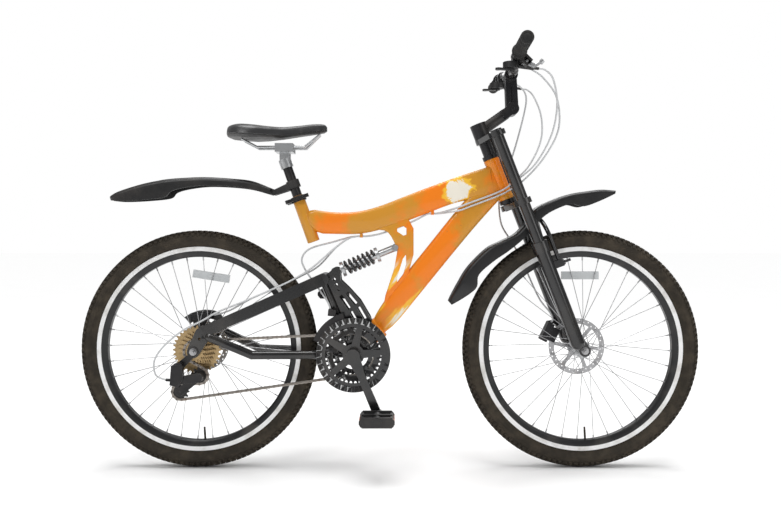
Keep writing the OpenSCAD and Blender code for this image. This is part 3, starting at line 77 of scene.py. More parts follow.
# ------------------------------------------------------------------ places, from the frame
front_axle, rear_axle = middle("front_tyre"), middle("rear_tyre")
front_axle.y = rear_axle.y = 0
crank_axis = middle("chainrings")
tyre_low, tyre_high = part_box("front_tyre")
tyre_r = (tyre_high.z - tyre_low.z) / 2
tyre_w = tyre_high.y - tyre_low.y
rim_low, rim_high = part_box("front_rim")
rim_r = (rim_high.z - rim_low.z) / 2
rim_w = rim_high.y - rim_low.y
LEAN = math.radians(21)              # steering axis from the vertical
SEAT_LEAN = math.radians(19.6)
HEAD_FOOT = Vector((0.328331, 0, 0.751021))
HEAD_L, HEAD_D = 0.121, 0.044
PIVOT = Vector((-0.058269, 0, 0.355))
SEAT_TOP = Vector((-0.260269, 0, 0.760022))
steer_up = Vector((-math.sin(LEAN), 0, math.cos(LEAN)))
post_up = Vector((-math.sin(SEAT_LEAN), 0, math.cos(SEAT_LEAN)))
LEFT = Vector((0, 1, 0))
PATCH, STREAKS = (0.19, -0.02, 0.774), (0.03, -0.02, 0.475)  # paint marks on the top and down tubes
DOWN_LEAN = math.radians(50)


# ------------------------------------------------------------------ camera and light
camera_data = bpy.data.cameras.new("camera")
camera_data.sensor_width = 36
camera_data.lens = 34.34
camera_data.shift_y = -0.0237
camera = bpy.data.objects.new("camera", camera_data)
camera.location = (0.0016, -2.1, 0.631)
camera.rotation_euler = (math.pi / 2, 0, 0)
bpy.context.scene.collection.objects.link(camera)
bpy.context.scene.camera = camera
bpy.context.scene.view_settings.view_transform = "Standard"


def area_light(name, place, target, size, watts, colour=(1, 1, 1)):
    data = bpy.data.lights.new(name, "AREA")
    data.shape, data.size, data.energy, data.color = "DISK", size, watts, colour
    light = bpy.data.objects.new(name, data)
    light.location = place
    light.rotation_euler = (Vector(target) - Vector(place)).to_track_quat("-Z", "Y").to_euler()
    bpy.context.scene.collection.objects.link(light)


area_light("key", (-1.6, -2.6, 3.2), (0, 0, 0.5), 1.4, 34)
area_light("fill", (2.6, -2.4, 1.6), (0, 0, 0.5), 1.8, 14)
area_light("back", (0.4, 3.0, 2.6), (0, 0, 0.6), 2.0, 30)
overhead_data = bpy.data.lights.new("overhead", "SUN")
overhead_data.energy, overhead_data.angle = 2.7, math.radians(40)
bpy.context.scene.collection.objects.link(bpy.data.objects.new("overhead", overhead_data))
SEEN, LIT = 1.0, 0.3                # the studio's white as seen, and as it lights the bike
world = bpy.data.worlds.new("studio")
world.use_nodes = True
backdrop = world.node_tree.nodes["Background"]
backdrop.inputs["Color"].default_value = (1, 1, 1, 1)
ray = world.node_tree.nodes.new("ShaderNodeLightPath").outputs["Is Camera Ray"]
level = world.node_tree.nodes.new("ShaderNodeMapRange")
level.inputs["To Min"].default_value, level.inputs["To Max"].default_value = LIT, SEEN
world.node_tree.links.new(ray, level.inputs["Value"])
world.node_tree.links.new(level.outputs["Result"], backdrop.inputs["Strength"])
bpy.context.scene.world = world


# ------------------------------------------------------------------ materials
class Paint:
    """A material's node tree, with short names for the nodes that all finishes share."""

    def __init__(self, name, colour=(0.5, 0.5, 0.5), rough=0.5, metal=0.0, **inputs):
        self.material = bpy.data.materials.new(name)
        self.material.use_nodes = True
        self.nodes, self.links = self.material.node_tree.nodes, self.material.node_tree.links
        self.shader = self.nodes["Principled BSDF"]
        self.put("Base Color", (*colour, 1))
        self.put("Roughness", rough)
        self.put("Metallic", metal)
        for key, value in inputs.items():
            self.put(key.replace("_", " "), value)
        self.place = self.node("ShaderNodeTexCoord").outputs["Object"]

    def put(self, socket, value):
        """Sets one of the shader's sockets to a value or to a node's output."""
        self.join(value, self.shader.inputs[socket])

    def join(self, value, socket):
        if isinstance(value, bpy.types.NodeSocket):
            self.links.new(value, socket)
        else:
            socket.default_value = value

    def node(self, kind, settings=None, **inputs):
        made = self.nodes.new(kind)
        for key, value in (settings or {}).items():
            setattr(made, key, value)
        for key, value in inputs.items():
            self.join(value, made.inputs[int(key[1:]) if key[0] == "_" else key.replace("_", " ")])
        return made

    def noise(self, scale, detail=4.0, rough=0.55, at=None, distort=0.0):
        return self.node("ShaderNodeTexNoise", Vector=at or self.place, Scale=scale, Detail=detail,
                         Roughness=rough, Distortion=distort).outputs["Fac"]

    def stretched(self, x, y, z):
        """The place scaled per axis, for streaks."""
        return self.node("ShaderNodeMapping", Vector=self.place, Scale=(x, y, z)).outputs["Vector"]

    def along(self, angle, across, length):
        """The place turned about Y and squeezed, so that streaks follow a leaning tube."""
        turned = self.node("ShaderNodeMapping", Vector=self.place,
                           Rotation=(0, angle, 0)).outputs["Vector"]
        return self.node("ShaderNodeMapping", Vector=turned,
                         Scale=(length, across, across)).outputs["Vector"]

    def near(self, place, low, high):
        """1 close to a place, 0 away from it, in metres."""
        gap = self.node("ShaderNodeVectorMath", {"operation": "DISTANCE"}, _0=self.place,
                        _1=place).outputs["Value"]
        return self.math("SUBTRACT", 1.0, self.band(gap, low, high))

    def band(self, value, low, high):
        """0 below low, 1 above high, smooth in between."""
        return self.node("ShaderNodeMapRange", {"interpolation_type": "SMOOTHSTEP"}, Value=value,
                         From_Min=low, From_Max=high).outputs["Result"]

    def math(self, what, a, b=0.0):
        return self.node("ShaderNodeMath", {"operation": what}, _0=a, _1=b).outputs[0]

    def mix(self, factor, a, b):
        made = self.node("ShaderNodeMix", {"data_type": "RGBA"}, Factor=factor)
        for socket, value in ((made.inputs[6], a), (made.inputs[7], b)):
            self.join((*value, 1) if isinstance(value, tuple) else value, socket)
        return made.outputs[2]

    def axis(self, name, at=None):
        return self.node("ShaderNodeSeparateXYZ", _0=at or self.place).outputs[name]

    def edges(self, radius, low=0.04, high=0.3):
        """1 along worn edges: where the bevelled normal leaves the true one."""
        soft = self.node("ShaderNodeBevel", {"samples": 4}, Radius=radius).outputs["Normal"]
        true = self.node("ShaderNodeNewGeometry").outputs["True Normal"]
        dot = self.node("ShaderNodeVectorMath", {"operation": "DOT_PRODUCT"}, _0=soft,
                        _1=true).outputs["Value"]
        worn = self.math("MULTIPLY", self.math("SUBTRACT", 1.0, dot), self.noise(260, 3))
        return self.band(worn, low, high)

    def bump(self, height, distance, strength=1.0):
        self.put("Normal", self.node("ShaderNodeBump", Height=height, Distance=distance,
                                     Strength=strength).outputs["Normal"])

    def radius_from(self, centre):
        """Distance from a wheel's axis."""
        off = self.node("ShaderNodeVectorMath", {"operation": "SUBTRACT"}, _0=self.place,
                        _1=tuple(centre)).outputs["Vector"]
        flat = self.node("ShaderNodeVectorMath", {"operation": "MULTIPLY"}, _0=off,
                         _1=(1, 0, 1)).outputs["Vector"]
        return self.node("ShaderNodeVectorMath", {"operation": "LENGTH"}, _0=flat).outputs["Value"]


def worn_coat(name, colour, rough, metal, wear, gloss=0.0, grain=900, grain_depth=0.00003, edge=0.0008):
    """Paint, anodising or plastic with fine grain, dust and paler edges."""
    p = Paint(name, colour, rough, metal, Coat_Weight=gloss, Coat_Roughness=0.12)
    dust = p.band(p.noise(9, 6), 0.45, 0.8)
    dusty = tuple(0.86 * c + 0.14 * d for c, d in zip(colour, (0.23, 0.2, 0.17)))
    p.put("Base Color", p.mix(p.edges(edge), p.mix(dust, colour, dusty), wear))
    p.put("Roughness", p.node("ShaderNodeMapRange", Value=p.noise(38, 5), To_Min=rough * 0.75,
                              To_Max=min(1, rough * 1.35)).outputs["Result"])
    p.bump(p.noise(grain, 2), grain_depth)
    return p.material


def metal(name, colour, rough, streak=(1, 1, 40), stain=(0.2, 0.15, 0.1), stain_share=0.25):
    """Bare metal with brushing, dirt in patches and fine scratches."""
    p = Paint(name, colour, rough, 1.0)
    brushed = p.noise(140, 3, at=p.stretched(*streak))
    dirty = p.band(p.noise(26, 8, 0.65), 0.52, 0.78)
    soiled = tuple((1 - stain_share) * c + stain_share * s for c, s in zip(colour, stain))
    p.put("Base Color", p.mix(dirty, p.mix(brushed, colour, tuple(0.8 * c for c in colour)), soiled))
    p.put("Roughness", p.node("ShaderNodeMapRange", Value=brushed, To_Min=rough * 0.7,
                              To_Max=min(1, rough * 1.5)).outputs["Result"])
    p.bump(brushed, 0.00003)
    return p.material


def frame_paint():
    """Orange paint with worn ochre along the tubes, a white patch at the head and streaks low down."""
    p = Paint("frame_paint", ORANGE, 0.3, 0.0, Specular_IOR_Level=0.25, Coat_Weight=0.35,
              Coat_Roughness=0.07)
    cloud = p.noise(5.5, 4, 0.55)
    higher_up = p.math("MULTIPLY", p.band(p.axis("Z"), 0.5, 0.8), 0.12)
    ochre = p.band(p.math("ADD", cloud, higher_up), 0.52, 0.64)
    colour = p.mix(p.math("MULTIPLY", ochre, 0.8), ORANGE, AMBER)
    ragged = p.math("MULTIPLY", p.math("SUBTRACT", p.noise(34, 6, 0.6, distort=0.8), 0.5), 0.09)
    gap = p.node("ShaderNodeVectorMath", {"operation": "DISTANCE"}, _0=p.place,
                 _1=PATCH).outputs["Value"]
    torn = p.math("ADD", gap, ragged)
    brushed = p.noise(30, 5, 0.6, at=p.along(DOWN_LEAN, 1.0, 0.12), distort=0.4)
    low_down = p.near(STREAKS, 0.05, 0.13)
    yellow = p.math("MAXIMUM", p.math("SUBTRACT", 1.0, p.band(torn, 0.036, 0.044)),
                    p.math("MULTIPLY", low_down, p.band(brushed, 0.47, 0.53)))
    white = p.math("MAXIMUM", p.math("SUBTRACT", 1.0, p.band(torn, 0.026, 0.030)),
                   p.math("MULTIPLY", low_down, p.band(brushed, 0.56, 0.60)))
    colour = p.mix(p.math("MULTIPLY", yellow, 0.85), colour, (0.93, 0.55, 0.04))
    colour = p.mix(p.math("MULTIPLY", white, 0.92), colour, (0.85, 0.83, 0.75))
    chips = p.math("MULTIPLY", p.band(p.noise(75, 8, 0.7), 0.67, 0.7), 0.7)
    worn = p.math("MAXIMUM", chips, p.math("MULTIPLY", p.edges(0.0012), 0.7))
    p.put("Base Color", p.mix(worn, colour, (0.35, 0.17, 0.06)))
    flake = p.node("ShaderNodeTexVoronoi", Vector=p.place, Scale=1500).outputs["Distance"]
    p.put("Roughness", p.node("ShaderNodeMapRange", Value=flake, To_Min=0.24,
                              To_Max=0.4).outputs["Result"])
    p.bump(p.noise(420, 2), 0.00002)
    return p.material


def rim_finish(name, centre):
    """Black anodised rim whose brake track is turned bare, with fine rings from the tool."""
    p = Paint(name, BLACK, 0.34, 0.6)
    r = p.radius_from(centre)
    across = p.math("ABSOLUTE", p.axis("Y"))
    track = p.math("MULTIPLY", p.band(r, rim_r - 0.0125, rim_r - 0.0118),
                   p.band(across, rim_w / 2 - 0.0012, rim_w / 2 - 0.0006))
    rings = p.math("SINE", p.math("MULTIPLY", r, 9000))
    grime = p.band(p.noise(22, 6, 0.6), 0.42, 0.75)
    bright = p.mix(grime, (0.86, 0.86, 0.86), (0.6, 0.58, 0.55))
    dark = p.mix(p.band(p.noise(14, 5), 0.5, 0.8), BLACK, (0.05, 0.045, 0.04))
    p.put("Base Color", p.mix(track, dark, bright))
    p.put("Metallic", p.math("MULTIPLY", track, 0.4))
    p.bump(p.math("MULTIPLY", rings, track), 0.00002)
    return p.material


def rubber(name, colour, dusty, rough=0.82):
    p = Paint(name, colour, rough, Specular_IOR_Level=0.35)
    dust = p.math("ADD", p.band(p.noise(30, 7, 0.65), 0.35, 0.75),
                  p.math("MULTIPLY", p.edges(0.0012), 0.35))
    p.put("Base Color", p.mix(p.math("MINIMUM", dust, 1.0), colour, dusty))
    p.bump(p.noise(650, 4), 0.00012)
    return p.material


def reflector_plastic():
    """Clear moulded plastic with a grid of cube corners behind it."""
    p = Paint("reflector", (0.82, 0.83, 0.82), 0.12, Coat_Weight=0.7, Coat_Roughness=0.05)
    cells = p.node("ShaderNodeTexVoronoi", {"distance": "MANHATTAN"}, Vector=p.place, Scale=330,
                   Randomness=0.0)
    p.put("Base Color", p.mix(p.band(cells.outputs["Distance"], 0.15, 0.6), (0.9, 0.91, 0.9),
                              (0.5, 0.52, 0.53)))
    p.bump(cells.outputs["Distance"], 0.0004)
    return p.material


def vinyl():
    """Saddle vinyl: a pebbled grain with a faint sheen and creases."""
    p = Paint("saddle_vinyl", BLACK, 0.42, Coat_Weight=0.12, Coat_Roughness=0.35, Sheen_Weight=0.15)
    pebbles = p.node("ShaderNodeTexVoronoi", {"feature": "SMOOTH_F1"}, Vector=p.place, Scale=620,
                     Smoothness=0.4).outputs["Distance"]
    worn = p.band(p.noise(17, 5), 0.5, 0.75)
    p.put("Base Color", p.mix(worn, (0.014, 0.014, 0.015), (0.045, 0.043, 0.042)))
    p.put("Roughness", p.node("ShaderNodeMapRange", Value=worn, To_Min=0.34,
                              To_Max=0.5).outputs["Result"])
    p.bump(p.math("ADD", pebbles, p.math("MULTIPLY", p.noise(60, 3), 0.8)), 0.00018)
    return p.material


SLOTS = {
    "frame_paint": frame_paint(),
    "black_paint": worn_coat("black_paint", BLACK, 0.2, 0.0, (0.1, 0.1, 0.105), gloss=0.35),
    "black_anodised": worn_coat("black_anodised", (0.016, 0.016, 0.018), 0.3, 0.5, (0.3, 0.3, 0.31)),
    "silver_alloy": metal("silver_alloy", (0.52, 0.53, 0.54), 0.3),
    "steel": metal("steel", (0.45, 0.45, 0.46), 0.3, stain_share=0.35),
    "dark_steel": metal("dark_steel", (0.33, 0.3, 0.27), 0.38, stain=(0.2, 0.08, 0.03), stain_share=0.5),
    "spoke_steel": metal("spoke_steel", (0.5, 0.5, 0.51), 0.25, stain_share=0.12),
    "bronze_steel": metal("bronze_steel", (0.5, 0.36, 0.19), 0.36, stain=(0.1, 0.05, 0.02),
                          stain_share=0.55),
    "tyre_rubber": rubber("tyre_rubber", (0.024, 0.019, 0.013), (0.055, 0.043, 0.029)),
    "grip_rubber": rubber("grip_rubber", (0.012, 0.012, 0.012), (0.035, 0.033, 0.03), 0.7),
    "guard_plastic": worn_coat("guard_plastic", (0.007, 0.007, 0.0075), 0.34, 0.0, (0.06, 0.06, 0.06),
                               grain=520, grain_depth=0.00005, edge=0.0012),
    "black_plastic": worn_coat("black_plastic", (0.01, 0.01, 0.0105), 0.45, 0.0, (0.07, 0.07, 0.07),
                               grain=700, grain_depth=0.00006),
    "saddle_vinyl": vinyl(),
    "cable_sleeve": worn_coat("cable_sleeve", (0.56, 0.57, 0.58), 0.35, 0.0, (0.7, 0.7, 0.7),
                              edge=0.0002),
    "reflector": reflector_plastic(),
}
FRONT_RIM = rim_finish("front_rim_finish", front_axle)
REAR_RIM = rim_finish("rear_rim_finish", rear_axle)
amber_plastic = Paint("amber_plastic", (0.8, 0.24, 0.01), 0.15, Coat_Weight=0.8)
amber_cells = amber_plastic.node("ShaderNodeTexVoronoi", {"distance": "MANHATTAN"}, Scale=380,
                                 Randomness=0.0, Vector=amber_plastic.place).outputs["Distance"]
amber_plastic.put("Base Color", amber_plastic.mix(amber_plastic.band(amber_cells, 0.1, 0.6),
                                                  (0.95, 0.36, 0.02), (0.5, 0.1, 0.004)))
amber_plastic.bump(amber_cells, 0.0004)

# ------------------------------------------------------------------ CAD nodes that stay
SLOT_OF = {part["node"]: part["material_slot"] for part in frame["record"]["subparts"]}
BEVEL = {"fork_lowers": 1.2, "fork_crowns": 1.6, "rear_triangle": 1.2, "crank_arms": 1.8,
         "stem": 1.2, "stem_link": 1.2,
         "control_perches": 1.2, "saddle_shell": 2.0, "pedal_right": 0.8, "pedal_left": 0.8,
         "brake_lever_right": 1.6, "brake_lever_left": 1.6, "handlebar": 0.6,
         "rear_derailleur": 1.0, "saddle_clamp": 1.2}
PLAIN = {"front_spokes", "rear_spokes", "chain", "shock_spring"}


def soften(obj, width):
    """Rounds a CAD node's sharp edges with modifiers, its own mesh staying as packed."""
    for face in obj.data.polygons:
        face.use_smooth = True
    with bpy.context.temp_override(object=obj, active_object=obj, selected_objects=[obj]):
        if obj.data.has_custom_normals:
            bpy.ops.mesh.customdata_custom_splitnormals_clear()
    weld = obj.modifiers.new("weld", "WELD")
    weld.merge_threshold = 0.00001
    if width > 0:
        bevel = obj.modifiers.new("bevel", "BEVEL")
        bevel.width, bevel.segments, bevel.limit_method = width * MM, 2, "ANGLE"
        bevel.angle_limit = math.radians(34)
        bevel.use_clamp_overlap = True
    obj.modifiers.new("normals", "WEIGHTED_NORMAL").keep_sharp = False


for node, obj in frame["nodes"].items():
    obj.data.materials.clear()
    obj.data.materials.append({"front_rim": FRONT_RIM, "rear_rim": REAR_RIM}.get(
        node, SLOTS[SLOT_OF.get(node, "black_plastic")]))
    if node not in PLAIN:
        soften(obj, BEVEL.get(node, 0.5))


# ------------------------------------------------------------------ mesh helpers
def new_mesh(name, verts, faces, slot, body=None, replaces=(), smooth=True, material=None):
    mesh = bpy.data.meshes.new(name)
    mesh.from_pydata([tuple(v) for v in verts], [], [tuple(f) for f in faces])
    solid = bmesh.new()
    solid.from_mesh(mesh)
    bmesh.ops.recalc_face_normals(solid, faces=solid.faces)
    solid.to_mesh(mesh)
    solid.free()
    mesh.update()
    obj = bpy.data.objects.new(name, mesh)
    bpy.context.scene.collection.objects.link(obj)
    mesh.materials.append(material or SLOTS[slot])
    if smooth:
        mesh.shade_smooth()
        mesh.set_sharp_from_angle(angle=math.radians(38))
    if body:
        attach(obj, body)
    if replaces:
        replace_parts(obj, *replaces)
    return obj


class Shape:
    """Vertices and faces gathered from several parts."""

    def __init__(self):
        self.verts, self.faces = [], []

    def add(self, verts, faces):
        start = len(self.verts)
        self.verts += [Vector(v) for v in verts]
        self.faces += [[i + start for i in f] for f in faces]

    def grid(self, rings, closed=False, caps=True):
        """Quads between rings of equal length; closed joins the last ring to the first."""
        n, count = len(rings[0]), len(rings)
        faces = []
        for i in range(count if closed else count - 1):
            j = (i + 1) % count
            for k in range(n):
                m = (k + 1) % n
                faces.append([i * n + k, i * n + m, j * n + m, j * n + k])
        if caps and not closed:
            faces += [list(range(n))[::-1], [(count - 1) * n + k for k in range(n)]]
        self.add([v for ring in rings for v in ring], faces)

    def revolve(self, profile, centre, axis, steps=96, closed=True):
        """A profile of (along, radius) points turned about an axis; closed profiles make rings."""
        axis = Vector(axis).normalized()
        side = axis.orthogonal().normalized()
        other = axis.cross(side)
        rings = []
        for i in range(steps):
            a = 2 * math.pi * i / steps
            out = math.cos(a) * side + math.sin(a) * other
            rings.append([Vector(centre) + along * axis + r * out for along, r in profile])
        n = len(profile)
        faces = []
        for i in range(steps):
            j = (i + 1) % steps
            for k in range(n if closed else n - 1):
                m = (k + 1) % n
                faces.append([i * n + k, j * n + k, j * n + m, i * n + m])
        if not closed:
            faces += [[i * n for i in range(steps)],
                      [i * n + n - 1 for i in range(steps)][::-1]]
        self.add([v for ring in rings for v in ring], faces)

    def sweep(self, path, section, start_u, closed=False):
        """A section of (u, v) points carried along a path without twist."""
        path = [Vector(p) for p in path]
        count = len(path)
        rings, u = [], Vector(start_u)
        for i in range(count):
            before = path[i - 1] if closed or i > 0 else path[0]
            after = path[(i + 1) % count] if closed or i < count - 1 else path[-1]
            t = (after - before).normalized()
            u = (u - u.dot(t) * t).normalized()
            v = t.cross(u)
            rings.append([path[i] + a * u + b * v for a, b in section])
        self.grid(rings, closed)

    def prism(self, outline, y0, y1, edge=0.0, steps=3):
        """A plate drawn in X and Z between two y values, its edges rounded."""
        y0, y1 = min(y0, y1), max(y0, y1)
        if area(outline) < 0:
            outline = outline[::-1]
        rings = []
        for side, y in ((-1, y0), (1, y1)):
            turns = range(steps + 1) if side < 0 else range(steps, -1, -1)
            for k in turns if edge > 0 else [0]:
                a = math.pi / 2 * k / steps
                inset_by = edge * (1 - math.sin(a)) if edge > 0 else 0
                depth = edge * (1 - math.cos(a)) if edge > 0 else 0
                rings.append([Vector((p[0], y - side * depth, p[1])) for p in inset(outline, inset_by)])
        self.grid(rings)

    def rod(self, a, b, r, sides=24, edge=0.0):
        a, b = Vector(a), Vector(b)
        length = (b - a).length
        profile = [(0, r - edge), (edge, r), (length - edge, r), (length, r - edge)] if edge else [
            (0, r), (length, r)]
        self.revolve(profile, a, b - a, sides, closed=False)


def area(outline):
    return sum(a[0] * b[1] - b[0] * a[1] for a, b in zip(outline, outline[1:] + outline[:1])) / 2


def inset(outline, by):
    """An outline drawn anticlockwise, moved inwards."""
    if not by:
        return outline
    made = []
    for i, p in enumerate(outline):
        a, b = outline[i - 1], outline[(i + 1) % len(outline)]
        d1 = Vector((p[0] - a[0], p[1] - a[1])).normalized()
        d2 = Vector((b[0] - p[0], b[1] - p[1])).normalized()
        n = Vector((-d1.y - d2.y, d1.x + d2.x)).normalized()
        stretch = 1 / max(0.5, n.dot(Vector((-d1.y, d1.x))))
        made.append((p[0] + n.x * by * stretch, p[1] + n.y * by * stretch))
    return made


def rounded(outline, rounds=2):
    """Cuts an outline's corners, so that it curves and stays inside its points."""
    for _ in range(rounds):
        outline = [q for a, b in zip(outline, outline[1:] + outline[:1]) for q in (
            (0.75 * a[0] + 0.25 * b[0], 0.75 * a[1] + 0.25 * b[1]),
            (0.25 * a[0] + 0.75 * b[0], 0.25 * a[1] + 0.75 * b[1]))]
    return outline


def smooth_line(points, steps):
    """The curve through listed points that the CAD source draws its cables with."""
    p = [Vector(q) * MM for q in points]
    made = []
    for i in range(len(p) - 1):
        a, b, c, d = p[max(i - 1, 0)], p[i], p[i + 1], p[min(i + 2, len(p) - 1)]
        for j in range(steps):
            t = j / steps
            made.append(0.5 * (2 * b + (c - a) * t + (2 * a - 5 * b + 4 * c - d) * t * t
                               + (3 * b - a - 3 * c + d) * t ** 3))
    return made + [p[-1]]


def circle(r, n):
    return [(r * math.cos(2 * math.pi * k / n), r * math.sin(2 * math.pi * k / n)) for k in range(n)]


def carve(obj, cutter):
    """Cuts one mesh out of another."""
    cut = obj.modifiers.new("cut", "BOOLEAN")
    cut.operation, cut.object, cut.solver = "DIFFERENCE", cutter, "EXACT"
    graph = bpy.context.evaluated_depsgraph_get()
    graph.update()
    mesh = bpy.data.meshes.new_from_object(obj.evaluated_get(graph))
    obj.modifiers.clear()
    obj.data = mesh
    bpy.data.objects.remove(cutter)
    return obj


# ------------------------------------------------------------------ tyres
KNOBS = 132                          # blocks in each row, round the tyre
KNOB_HIGH = 0.0055
MID_ROW, OUTER_ROW = 27, 54          # degrees from the crown


def make_tyre(name, centre, body, tube_from):
    """A casing with side ribs, five rows of tread blocks and the valve."""
    mid = (rim_r + tyre_r) / 2
    high, wide = tyre_r - mid, tyre_w / 2
    knob = KNOB_HIGH
    shape = Shape()
    profile = []
    for i in range(49):
        a = math.radians(-125 + 250 * i / 48)
        side = 1 - abs(math.cos(a))
        rib = 0.0004 * (math.sin(i * 2.6) > 0.55) * (abs(math.sin(a)) > 0.85)
        profile.append(((wide - knob * 0.55 - 0.0006 + rib) * math.sin(a),
                        mid + (high - knob - 0.0002 * side) * math.cos(a)))
    bead_y = rim_w / 2 - 0.0023
    profile += [(bead_y, rim_r + 0.001), (bead_y, rim_r - 0.009), (bead_y - 0.003, rim_r - 0.009),
                (bead_y - 0.003, rim_r + 0.003)]
    for i in range(25):
        a = math.radians(120 - 240 * i / 24)
        profile.append(((wide - 0.006) * math.sin(a), mid + (high - 0.008) * math.cos(a)))
    profile += [(-bead_y + 0.003, rim_r + 0.003), (-bead_y + 0.003, rim_r - 0.009),
                (-bead_y, rim_r - 0.009), (-bead_y, rim_r + 0.001)]
    shape.revolve(profile, centre, (0, 1, 0), 168)
    step = 2 * math.pi / KNOBS
    # Rows of blocks: angle across the casing, half width across, half length round, offset, skew
    rows = [(0, 0.0056, 0.0042, 0, 0.25), (MID_ROW, 0.0044, 0.0046, 0.5, -0.35),
            (-MID_ROW, 0.0044, 0.0046, 0.5, 0.35), (OUTER_ROW, 0.0052, 0.0040, 0, 0.3),
            (-OUTER_ROW, 0.0052, 0.0040, 0, -0.3)]
    for k in range(KNOBS):
        for across, half_w, half_l, offset, skew in rows:
            if abs(across) == OUTER_ROW and k % 2:
                half_w, half_l = half_w * 0.75, half_l * 1.2
            turn = (k + offset) * step
            base = []
            for level, shrink in ((-0.0022, 1.12), (knob * 0.93, 1.0), (knob, 0.86)):
                for u, v in ((-1, -1), (1, -1), (1, 1), (-1, 1)):
                    a = math.radians(across) + u * half_w * shrink / (high + 0.001)
                    t = turn + (v * half_l * shrink + u * skew * half_l * 0.6) / tyre_r
                    y = (wide - knob * 0.55 - 0.0006 + level * 0.55) * math.sin(a)
                    r = mid + (high - knob + level) * math.cos(a)
                    base.append(Vector((centre.x + r * math.sin(t), y, centre.z + r * math.cos(t))))
            faces = [[0, 1, 2, 3][::-1], [8, 9, 10, 11]]
            for ring in (0, 4):
                for i in range(4):
                    j = (i + 1) % 4
                    faces.append([ring + i, ring + j, ring + 4 + j, ring + 4 + i])
            shape.add(base, faces)
    turn = math.radians(tube_from)
    down = Vector((-math.sin(turn), 0, -math.cos(turn)))
    bed = rim_r - 0.029
    stem = [(bed - 0.035, 0.0016), (bed - 0.0345, 0.0026), (bed - 0.026, 0.0026), (bed - 0.0255, 0.0029),
            (bed - 0.006, 0.003), (bed - 0.0055, 0.0029), (rim_r - 0.004, 0.0029)]
    shape.revolve(stem, centre, down, 20, closed=False)
    return new_mesh(name, shape.verts, shape.faces, "tyre_rubber", body)


WHEEL_TURN = 3.3
for end, place in (("front", front_axle), ("rear", rear_axle)):
    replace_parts(make_tyre(end + "_tyre_tread", place, end + "_wheel", -WHEEL_TURN),
                end + "_tyre", end + "_tube")


# ------------------------------------------------------------------ main frame
def from_pivot(points):
    return [((p[0]) * MM + PIVOT.x, p[1] * MM + PIVOT.z) for p in points]


TOP_TUBE = [(-183, 371), (-102, 359), (-37, 359), (28, 375), (114, 410), (222, 451), (330, 487),
            (348, 490), (378, 408), (265, 393), (222, 380), (123, 341), (49, 315), (-20, 298),
            (-80, 298), (-160, 300)]
DOWN_TUBE = [(395, 424), (345, 452), (300, 425), (262, 386), (127, 216), (62, 138.5), (10, 61),
             (2, 20), (49, 15), (153, 143), (282, 302), (366, 396)]
GUSSET = [(18, 311), (49, 308), (66, 286), (84, 242), (32, 84), (64, 132), (124.5, 205),
          (124.5, 350), (60, 325)]
GUSSET_HOLES = [[(70, 311), (105, 324), (105, 288)], [(103, 256), (105, 198), (70, 150)]]
FRAME_HALF = 0.019                   # half the tubes' width
SIDE_STEP = 0.0004                   # keeps the two tubes' sides out of one plane


def plate_object(outline, y0, y1, edge, rounds=2):
    shape = Shape()
    shape.prism(rounded(outline, rounds), y0, y1, edge)
    return new_mesh("part", shape.verts, shape.faces, "frame_paint")


def cylinder_object(a, b, r):
    shape = Shape()
    shape.rod(a, b, r, 64)
    return new_mesh("cutter", shape.verts, shape.faces, None, material=SLOTS["steel"])


head_bore = (HEAD_FOOT - 0.05 * steer_up, HEAD_FOOT + 0.2 * steer_up, HEAD_D / 2 - 0.002)
post_bore = (SEAT_TOP - 0.2 * post_up, SEAT_TOP + 0.05 * post_up, 0.016)
parts = []
for outline, half in ((TOP_TUBE, FRAME_HALF), (DOWN_TUBE, FRAME_HALF - SIDE_STEP)):
    tube = plate_object(from_pivot(outline), -half, half, 0.0105)
    tube = carve(tube, cylinder_object(*head_bore))
    parts.append(carve(tube, cylinder_object(*post_bore)))
for side in (-1, 1):
    web = plate_object(from_pivot(GUSSET), side * 0.013, side * 0.018, 0.0012, 1)
    for hole in GUSSET_HOLES:
        web = carve(web, plate_object(from_pivot(hole), side * 0.01, side * 0.021, 0, 1))
    parts.append(web)
frame_rest = Shape()
lip = 0.0016
head_r = HEAD_D / 2
frame_rest.revolve([(0, head_r - lip), (0.003, head_r), (0.010, head_r), (0.013, head_r - 0.001),
                    (HEAD_L - 0.013, head_r - 0.001), (HEAD_L - 0.010, head_r),
                    (HEAD_L - 0.003, head_r), (HEAD_L, head_r - lip), (HEAD_L, head_r - 0.0045),
                    (0, head_r - 0.0045)], HEAD_FOOT, steer_up, 72)
frame_rest.revolve([(-0.136, 0.0168), (-0.134, 0.0175), (-0.0006, 0.0175), (0, 0.0172), (0, 0.0141),
                    (-0.136, 0.0141)], SEAT_TOP, post_up, 64)
lug = [(PIVOT.x + 0.018 * math.cos(a), PIVOT.z + 0.018 * math.sin(a))
       for a in [math.radians(d) for d in range(140, 310, 12)]]
frame_rest.prism(lug + from_pivot([(49, 15), (10, 61)]), -0.022, 0.022, 0.003)
for x, z in ((178, 358), (-22, 294)):
    c = Vector((PIVOT.x + x * MM, 0, PIVOT.z + z * MM))
    frame_rest.prism([(c.x - 0.004, c.z - 0.0055), (c.x + 0.004, c.z - 0.0055),
                      (c.x + 0.004, c.z + 0.0055), (c.x - 0.004, c.z + 0.0055)], -0.013, 0.013, 0.001)
rest = new_mesh("frame_shell", frame_rest.verts, frame_rest.faces, "frame_paint")
for part in parts:
    part.data.transform(part.matrix_world)
merged = Shape()
for part in [rest] + parts:
    merged.add([v.co for v in part.data.vertices], [list(f.vertices) for f in part.data.polygons])
for part in [rest] + parts:
    bpy.data.objects.remove(part)
new_mesh("frame_tubes", merged.verts, merged.faces, "frame_paint", "main_frame", ["main_frame"])


# ------------------------------------------------------------------ mudguards
GUARD_HALF, GUARD_SKIN = 0.034, 0.0026
GUARD_PIVOT, TONGUE_HALF = Vector((-0.323769, 0, 0.770022)), 0.0085
